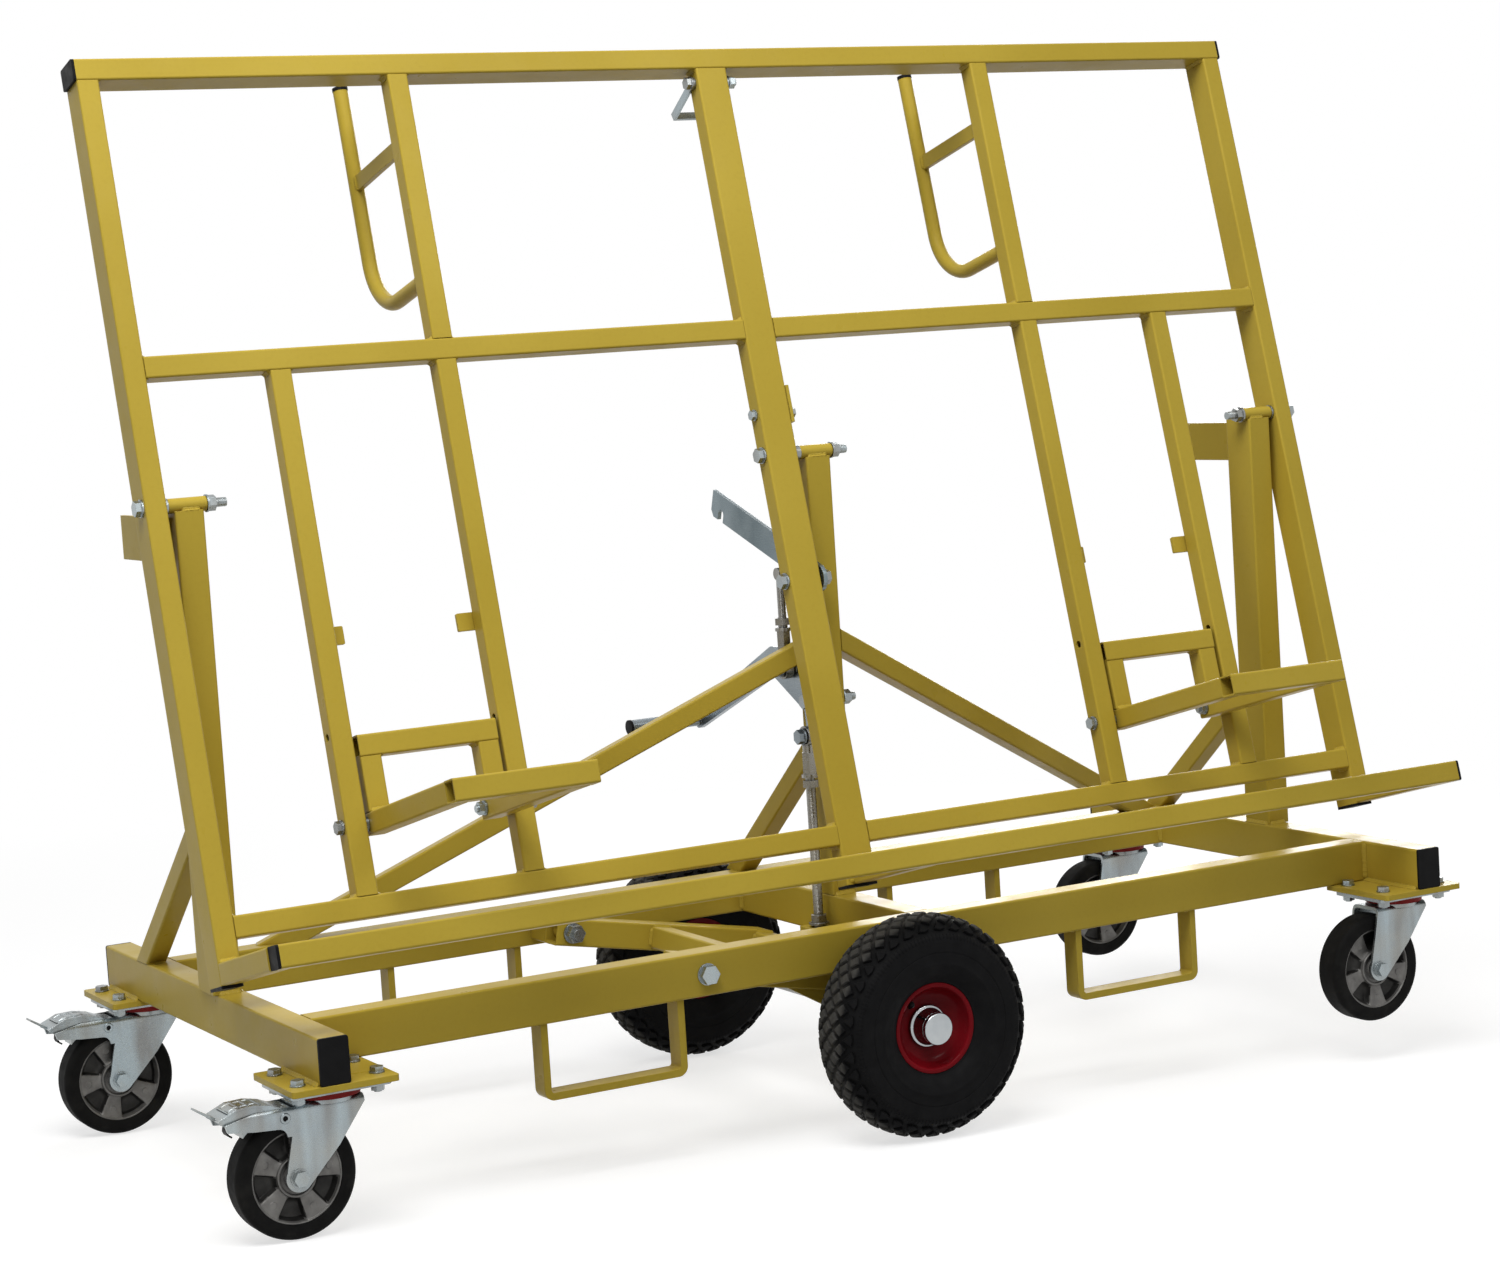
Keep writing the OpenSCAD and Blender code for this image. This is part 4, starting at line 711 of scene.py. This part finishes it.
def sweep(mesh, place, path):
    """Round bar along (point, radius) steps."""
    last, turn = len(path) - 1, TAU / STEM_SIDES
    rings = []
    for i, (p, radius) in enumerate(path):
        axis = (Vector(path[min(i + 1, last)][0]) - Vector(path[max(i - 1, 0)][0])).normalized()
        side = axis.orthogonal().normalized() if i == 0 else (side - axis * side.dot(axis)).normalized()
        other = axis.cross(side)
        rings.append([place(Vector(p) + (side * math.cos(turn * k) + other * math.sin(turn * k)) * radius)
                      for k in range(STEM_SIDES)])
    mesh.loft(rings)


def lathe(mesh, place, centre, axis, profile, turns=28, closed=False):
    """Turned form from (radius, height along the axis) steps; closed for a ring."""
    axis = Vector(axis)
    side = axis.orthogonal().normalized()
    other = axis.cross(side)
    mesh.loft([[place(Vector(centre) + axis * h + (side * math.cos(TAU * k / turns)
                                                   + other * math.sin(TAU * k / turns)) * r)
                for k in range(turns)] for r, h in profile], closed)


RIB_SINK, RIB_ROUND, RIB_SHOULDER, RIB_END = 0.4, 0.6, 0.75, 0.1


def rib(mesh, place, path, out, width, height):
    """Low rounded rib along a path on a face with this outward direction."""
    last = len(path) - 1
    out = Vector(out).normalized()
    rings = []
    for i, p in enumerate(path):
        p = Vector(p)
        ahead = Vector(path[min(i + 1, last)]) - Vector(path[max(i - 1, 0)])
        side = ahead.cross(out).normalized() * width / 2
        rise = out * height * (RIB_END if i in (0, last) else 1.0)
        rings.append([place(p - side - out * RIB_SINK), place(p - side * RIB_ROUND + rise * RIB_SHOULDER),
                      place(p + rise), place(p + side * RIB_ROUND + rise * RIB_SHOULDER),
                      place(p + side - out * RIB_SINK)])
    mesh.loft(rings)


VALVE_TURN = math.radians(40)
# Distance from the axle, place along it and radius of the stem
VALVE_STEPS = ((41, 2, 4.6), (41, 9, 4.6), (41, 12.5, 4.4), (41.2, 14, 3.4), (41.8, 17, 3.2), (43, 20, 3.1),
               (44.6, 22.4, 3.1), (45, 22.8, 3.8), (48.6, 26.6, 3.8), (49.2, 27.2, 3.2), (49.4, 27.4, 1.6))


def valve(name, body, y, way, up):
    """Bent valve stem through the hole in the rim dish, with its cap."""
    out = Vector((-math.sin(VALVE_TURN), 0, up * math.cos(VALVE_TURN)))
    mesh = Mesh()
    sweep(mesh, on_base, [(Vector((AXLE.x, y + way * a, AXLE.z)) + out * r, radius) for r, a, radius in VALVE_STEPS])
    mesh.make(name, body, "black_plastic")


valve("valve_front", "wheel_front", WHEEL_FRONT_Y, -1, 1)
valve("valve_rear", "wheel_rear", WHEEL_REAR_Y, 1, -1)

# Bowl of the pressed rims, from the tyre's seat over the lip and the dish to the hub and back
RIM_PROFILE = (
    (57, -31), (57, 31), (63, 31), (63, 33.2), (62.5, 33.8), (61.4, 34), (58.6, 34), (57.4, 33.7), (56.4, 32.8),
    (55.6, 31.2), (54.8, 28.6), (53.4, 25.0), (51.2, 21.4), (48.2, 18.2), (44.4, 15.4), (40.0, 13.2), (35.0, 11.8),
    (30.0, 11.1), (28.0, 11.0), (19, 29), (19, 36), (10.05, 36), (10.05, -36), (19, -36), (19, 22), (26, 7),
    (31, 7.3), (36, 8.2), (41, 9.8), (45.4, 12.0), (49.2, 14.6), (51.8, 15.2), (53.4, 13.2), (54, 10), (54, -31),
    (56, -34), (63, -34), (63, -31))
# Chrome sleeve over the hub's cone, and the cover in front of the axle's end
SLEEVE_PROFILE = (
    (29.0, 10.8), (29.3, 11.6), (29.3, 15.2), (28.7, 16.1), (27.8, 16.5), (26.2, 16.7), (25.5, 17.2), (25.2, 18.0),
    (23.4, 21.8), (22.7, 23.6), (22.4, 25.0), (22.4, 35.4), (21.9, 36.1), (18.0, 36.1), (18.0, 28.0), (24.0, 10.8))
COVER_PROFILE = ((21.9, 0.0), (22.4, 0.5), (22.4, 5.0), (22.2, 5.9), (21.6, 6.7), (20.8, 7.2), (19.6, 7.4),
                 (0.3, 7.7))
HUB_END, RIM_TURNS, HUB_TURNS = 36.4, 96, 72
covers = Mesh()
for side, y, way in (("front", WHEEL_FRONT_Y, -1), ("rear", WHEEL_REAR_Y, 1)):
    middle, out = (AXLE.x, y, AXLE.z), (0, way, 0)
    rim, sleeve = Mesh(), Mesh()
    lathe(rim, on_base, middle, out, RIM_PROFILE, RIM_TURNS, True)
    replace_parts(rim.make("rim_%s_bowl" % side, "wheel_" + side, "red_paint"), "rim_" + side)
    lathe(sleeve, on_base, middle, out, SLEEVE_PROFILE, HUB_TURNS, True)
    sleeve.make("hub_%s_sleeve" % side, "wheel_" + side, "chrome")
    lathe(covers, on_base, (AXLE.x, y + way * HUB_END, AXLE.z), out, COVER_PROFILE, HUB_TURNS)
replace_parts(covers.make("hub_covers", "swing_arm", "chrome"), "hub_caps")

CASTER_X, CASTER_Y, TREAD_Z = 861, 352, 34
FORK_HALF, FORK_TOP, CASTER_TRAIL, CASTER_R = 29, 172, 55, 80
# Spokes: number, wall, half width at a radius and its growth, and the most that spoke and walls take of the pitch
SPOKES, SPOKE_WALL, SPOKE_HALF, SPOKE_FROM, SPOKE_FLARE = 5, 3.4, 9.0, 28, 0.22
SPOKE_MOST, WALL_MOST = 0.7, 0.92
POCKET_FROM, POCKET_TO, POCKET_HALF = 27.0, 57.0, 13.6
DISC_TURN = {"fl": 152, "fr": 128, "rl": 110, "rr": 140}
# Radius, half thickness on a spoke and half thickness in a pocket
DISC_PROFILE = (
    (6.3, 21.3, 21.3), (16.0, 21.3, 21.3), (16.6, 20.6, 20.6), (17.0, 18.4, 18.4), (22.2, 18.2, 18.2),
    (22.6, 19.8, 19.8), (23.2, 20.2, 20.2), (25.2, 20.2, 20.2), (25.9, 19.6, 19.6), (26.6, 16.4, 15.2),
    (29.0, 14.6, 10.6), (32.0, 14.4, 7.2), (36.0, 14.8, 6.2), (42.0, 15.6, 6.0), (48.0, 16.6, 6.2),
    (52.0, 17.2, 7.2), (54.6, 17.7, 11.6), (56.2, 18.0, 15.6), (57.2, 18.4, 17.6), (57.8, 19.6, 19.6),
    (58.3, 20.0, 20.0), (59.7, 20.0, 20.0))
# Moulded ring on each spoke: distance from the axle, height of its foot, and its turned form
BOSS_R, BOSS_H, BOSS_TURNS = 45, 16.1, 18
BOSS_PROFILE = ((4.6, -0.8), (4.3, 0.5), (3.6, 0.5), (3.3, 0.15), (0.2, 0.1))


def caster_disc(name, node, body, place, turn):
    """Cast wheel centre: thin lip, dished spokes with drafted walls, pockets given a much darker casting as painted
    shade, and a bearing seat.
    """
    hub = Vector((-CASTER_TRAIL, 0, CASTER_R))

    def ring(r, spoke, pocket, way):
        """One ring of the disc, from columns of (arc from a spoke's middle, share of the pocket's depth)."""
        half = min(SPOKE_HALF + (r - SPOKE_FROM) * SPOKE_FLARE, SPOKE_MOST * math.pi * r / SPOKES)
        pitch = math.pi * r / SPOKES
        foot = min(half + SPOKE_WALL, WALL_MOST * pitch)
        columns = [(0, 0), (0.55 * half, 0), (half - 0.9, 0), (half, 0.06), (half + 0.22 * (foot - half), 0.3),
                   (half + 0.8 * (foot - half), 0.94), (foot, 1), ((foot + pitch) / 2, 1), (pitch, 1)]
        arcs = [(-a, m) for a, m in reversed(columns[1:-1])] + columns
        points = []
        for k in range(SPOKES):
            for arc, m in arcs:
                a = math.radians(turn) + TAU * k / SPOKES + arc / r
                h = spoke + (pocket - spoke) * m
                points.append(place(hub + Vector((r * math.cos(a), way * h, r * math.sin(a)))))
        return points

    mesh = Mesh()
    mesh.loft([ring(*row, -1) for row in DISC_PROFILE] + [ring(*row, 1) for row in reversed(DISC_PROFILE)],
              closed=True)
    for k in range(SPOKES):
        a = math.radians(turn) + TAU * k / SPOKES
        for way in (-1, 1):
            foot = hub + Vector((BOSS_R * math.cos(a), way * BOSS_H, BOSS_R * math.sin(a)))
            lathe(mesh, place, foot, (0, way, 0), BOSS_PROFILE, BOSS_TURNS)
    casting = mesh.make(name, body, "cast_aluminium")
    # The second finish, on faces in the pockets, is painted shade.
    casting.data.materials.append(pocket_painted_shade)
    middle = place(hub)
    for face in casting.data.polygons:
        off = face.center - middle
        r = math.hypot(off.x, off.z) / MM
        if POCKET_FROM < r < POCKET_TO and abs(off.y) / MM < POCKET_HALF:
            face.material_index = 1
    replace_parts(casting, node)


# Folded sides of the brake pedals: place along the horn, upper and lower edge from the fork's top
SKIRT = ((-80, 0.6, -6), (-84, 2.6, -6), (-94, 4.6, -5.5), (-104, 6.6, -6), (-116, 6.2, -8), (-128, 5.6, -10),
         (-140, 0.2, -11.5), (-146, -2.5, -12), (-151.8, -5.2, -8.2))
SKIRT_OUT, SKIRT_IN = 24.4, 22.4
BRAKE_X, BRAKE_Z = -68, 158
RIVET = ((7.0, -0.4), (7.0, 0.3), (6.2, 1.4), (4.8, 1.8), (3.7, 1.5), (3.3, 1.02))
RIVET_BORE = ((3.6, 1.0), (3.3, 1.08), (0.2, 1.06))
# Middle line of the brake's hook in (x, z), half its thickness and half its width
HOOK = ((-131, 161), (-134, 156), (-136.4, 151.5), (-137, 147.5), (-135.4, 144), (-131, 141))
HOOK_THIN, HOOK_WIDE = 1.1, 8
# Embossed ribs of the pedal: across it as (x, height over the fork, slope), and along it as (x, height)
CROSS_RIBS = ((-96, 6.4, 0.2), (-111, 7.7, -0.04), (-123, 7.2, -0.04), (-138, 2.6, -0.44))
CROSS_SPAN = (-19, -17, -8, 0, 8, 17, 19)
LONG_RIB = ((-99, 7.0), (-101, 7.4), (-104, 8), (-116, 7.5), (-128, 7), (-134, 4.4), (-136, 3.5))
LONG_RIB_Y = 13
CROSS_RIB_SIZE, LONG_RIB_SIZE = (5.0, 1.5), (4.0, 1.2)  # width and height


def caster_fittings(key, sx, sy):
    """Cast centre of one caster, and on the left the rivets, hook and pressed pedal of its brake."""
    def place(p):
        return on_base(Vector((sx * CASTER_X, sy * CASTER_Y, TREAD_Z)) + Vector(p))

    caster_disc("casting_" + key, "disc_" + key, "roller_" + key, place, DISC_TURN[key])
    if sx > 0:
        return
    rivets, holes, hook, emboss = Mesh(), Mesh(), Mesh(), Mesh()
    for d in (-1, 1):
        lathe(rivets, place, (BRAKE_X, d * FORK_HALF, BRAKE_Z), (0, d, 0), RIVET)
        lathe(holes, place, (BRAKE_X, d * FORK_HALF, BRAKE_Z), (0, d, 0), RIVET_BORE)
    rivets.make("brake_%s_rivets" % key, "caster_" + key, "zinc_plate")
    holes.make("brake_%s_rivet_bores" % key, "caster_" + key, "black_plastic")
    rings = []
    for i, (x, z) in enumerate(HOOK):
        (x0, z0), (x1, z1) = HOOK[max(i - 1, 0)], HOOK[min(i + 1, len(HOOK) - 1)]
        nx, nz = Vector((z1 - z0, x0 - x1)).normalized() * HOOK_THIN
        rings.append([place((x + nx, -HOOK_WIDE, z + nz)), place((x + nx, HOOK_WIDE, z + nz)),
                      place((x - nx, HOOK_WIDE, z - nz)), place((x - nx, -HOOK_WIDE, z - nz))])
    hook.loft(rings)
    hook.make("brake_%s_hook" % key, "pedal_" + key, "black_plastic")
    for x, z, slope in CROSS_RIBS:
        rib(emboss, place, [(x, y, FORK_TOP + z) for y in CROSS_SPAN], (-slope, 0, 1), *CROSS_RIB_SIZE)
    for y in (-LONG_RIB_Y, LONG_RIB_Y):
        rib(emboss, place, [(x, y, FORK_TOP + z) for x, z in LONG_RIB], UP, *LONG_RIB_SIZE)
    emboss.make("pedal_%s_emboss" % key, "pedal_" + key, "zinc_plate")
    skirts = Mesh()
    for d in (-1, 1):
        skirts.loft([[place((x, d * SKIRT_OUT, FORK_TOP + top)), place((x, d * SKIRT_OUT, FORK_TOP + low)),
                      place((x, d * SKIRT_IN, FORK_TOP + low)), place((x, d * SKIRT_IN, FORK_TOP + top))]
                     for x, top, low in SKIRT])
    skirts.make("pedal_%s_skirts" % key, "pedal_" + key, "zinc_plate")


for key, sx, sy in (("fl", -1, -1), ("fr", 1, -1), ("rl", -1, 1), ("rr", 1, 1)):
    caster_fittings(key, sx, sy)


# Stage and light
FLOOR_GREY, FLOOR_GLOW, FADE_FROM, FADE_TO = 0.45, 0.66, 1.6, 3.6
FLOOR_HALF, FLOOR_DROP = 30.0, -0.0012
CASTER_RISE, CASTER_AWAY = 0.034, 0.928  # left casters over the wheels' floor, and distance from the axle
AMBIENT = 0.21


def floor_material():
    """Pale floor that keeps the shadow near the cart and turns white further away."""
    g = Graph("studio_floor")
    tree = g.tree
    tree.nodes.remove(g.shader)
    far = g.add("VectorMath", {0: g.at}, operation="LENGTH").outputs["Value"]
    away = g.span(far, FADE_FROM, FADE_TO)
    diffuse = g.add("BsdfDiffuse", {"Color": (FLOOR_GREY,) * 3}).outputs[0]
    path = g.add("LightPath").outputs
    seen = g.math("MAXIMUM", path["Is Camera Ray"],
                  g.math("MAXIMUM", path["Is Glossy Ray"], path["Is Transmission Ray"]))
    glow = g.add("Emission", {"Color": WHITE, "Strength": g.math("MULTIPLY", seen, FLOOR_GLOW)}).outputs[0]
    white = g.add("Emission", {"Color": WHITE, "Strength": seen}).outputs[0]
    near = g.add("AddShader", {0: diffuse, 1: glow}).outputs[0]
    mixed = g.add("MixShader", {0: away, 1: near, 2: white}).outputs[0]
    g.put(tree.nodes["Material Output"].inputs["Surface"], mixed)
    return g.material


def make_floor():
    """A plain floor that touches the centre wheels and the left casters, as the cart stands."""
    rise = math.atan2(CASTER_RISE, CASTER_AWAY)
    half = FLOOR_HALF
    mesh = bpy.data.meshes.new("studio_floor")
    mesh.from_pydata([(-half, -half, 0), (half, -half, 0), (half, half, 0), (-half, half, 0)], [], [(0, 1, 2, 3)])
    mesh.materials.append(floor_material())
    obj = bpy.data.objects.new("studio_floor", mesh)
    obj.matrix_world = Matrix.Translation((axle_at.x, 0, FLOOR_DROP)) @ Matrix.Rotation(rise, 4, "Y")
    bpy.context.scene.collection.objects.link(obj)


make_floor()


def area_light(name, at, aim, size, watts):
    """Softbox at a place in metres, turned to its aim."""
    data = bpy.data.lights.new(name, "AREA")
    data.shape = "RECTANGLE"
    data.size, data.size_y = size
    data.energy = watts
    obj = bpy.data.objects.new(name, data)
    obj.location = at
    obj.rotation_euler = (Vector(aim) - Vector(at)).to_track_quat("-Z", "Y").to_euler()
    bpy.context.scene.collection.objects.link(obj)


area_light("key_softbox", (-1.35, -1.45, 4.05), (-0.1, 0, 0.8), (2.4, 2.4), 136)
area_light("front_softbox", (1.0, -3.0, 3.4), (0, 0.1, 1.3), (2.0, 0.4), 24)
area_light("left_softbox", (-3.6, -1.0, 1.6), (-0.9, 0, 0.7), (1.6, 1.6), 7)
area_light("rear_softbox", (3.2, 3.4, 1.9), (0, 0, 0.8), (2.0, 2.0), 85)


def make_sky():
    """White to the eye and in reflections, and a weaker even light on everything else."""
    world = bpy.data.worlds.new("studio")
    bpy.context.scene.world = world
    world.use_nodes = True
    nodes, links = world.node_tree.nodes, world.node_tree.links
    path = nodes.new("ShaderNodeLightPath")
    both, seen = nodes.new("ShaderNodeMath"), nodes.new("ShaderNodeMath")
    both.operation = seen.operation = "MAXIMUM"
    level = nodes.new("ShaderNodeMapRange")
    level.inputs["To Min"].default_value = AMBIENT
    level.inputs["To Max"].default_value = 1.0
    back = nodes["Background"]
    back.inputs["Color"].default_value = (*WHITE, 1.0)
    links.new(path.outputs["Is Camera Ray"], both.inputs[0])
    links.new(path.outputs["Is Glossy Ray"], both.inputs[1])
    links.new(both.outputs[0], seen.inputs[0])
    links.new(path.outputs["Is Transmission Ray"], seen.inputs[1])
    links.new(seen.outputs[0], level.inputs["Value"])
    links.new(level.outputs["Result"], back.inputs["Strength"])


make_sky()
bpy.context.scene.view_settings.view_transform = "Standard"

# Camera at the photograph's viewpoint, with its focal length and middle in the picture's pixels
PICTURE, FOCAL, MIDDLE, SENSOR, CLIP_END = (1500, 1267), 3186.19, (725.473, 618.775), 36.0, 200.0
EYE = (-2.21447, -4.04381, 1.11939)
YAW, PITCH, ROLL = math.radians(28.3996), math.radians(5.0808), math.radians(-3.6932)
look = Vector((math.sin(YAW) * math.cos(PITCH), math.cos(YAW) * math.cos(PITCH), -math.sin(PITCH)))
right = Vector((math.cos(YAW), -math.sin(YAW), 0.0))
up = right.cross(look)
cam_x = math.cos(ROLL) * right + math.sin(ROLL) * up
cam_y = -math.sin(ROLL) * right + math.cos(ROLL) * up
camera = bpy.data.objects.new("camera", bpy.data.cameras.new("camera"))
camera.matrix_world = Matrix.Translation(EYE) @ Matrix((cam_x, cam_y, -look)).transposed().to_4x4()
camera.data.sensor_width = SENSOR
camera.data.lens = FOCAL / PICTURE[0] * SENSOR
camera.data.shift_x = (PICTURE[0] / 2 - MIDDLE[0]) / PICTURE[0]
camera.data.shift_y = (MIDDLE[1] - PICTURE[1] / 2) / PICTURE[0]
camera.data.clip_end = CLIP_END
bpy.context.scene.collection.objects.link(camera)
bpy.context.scene.camera = camera
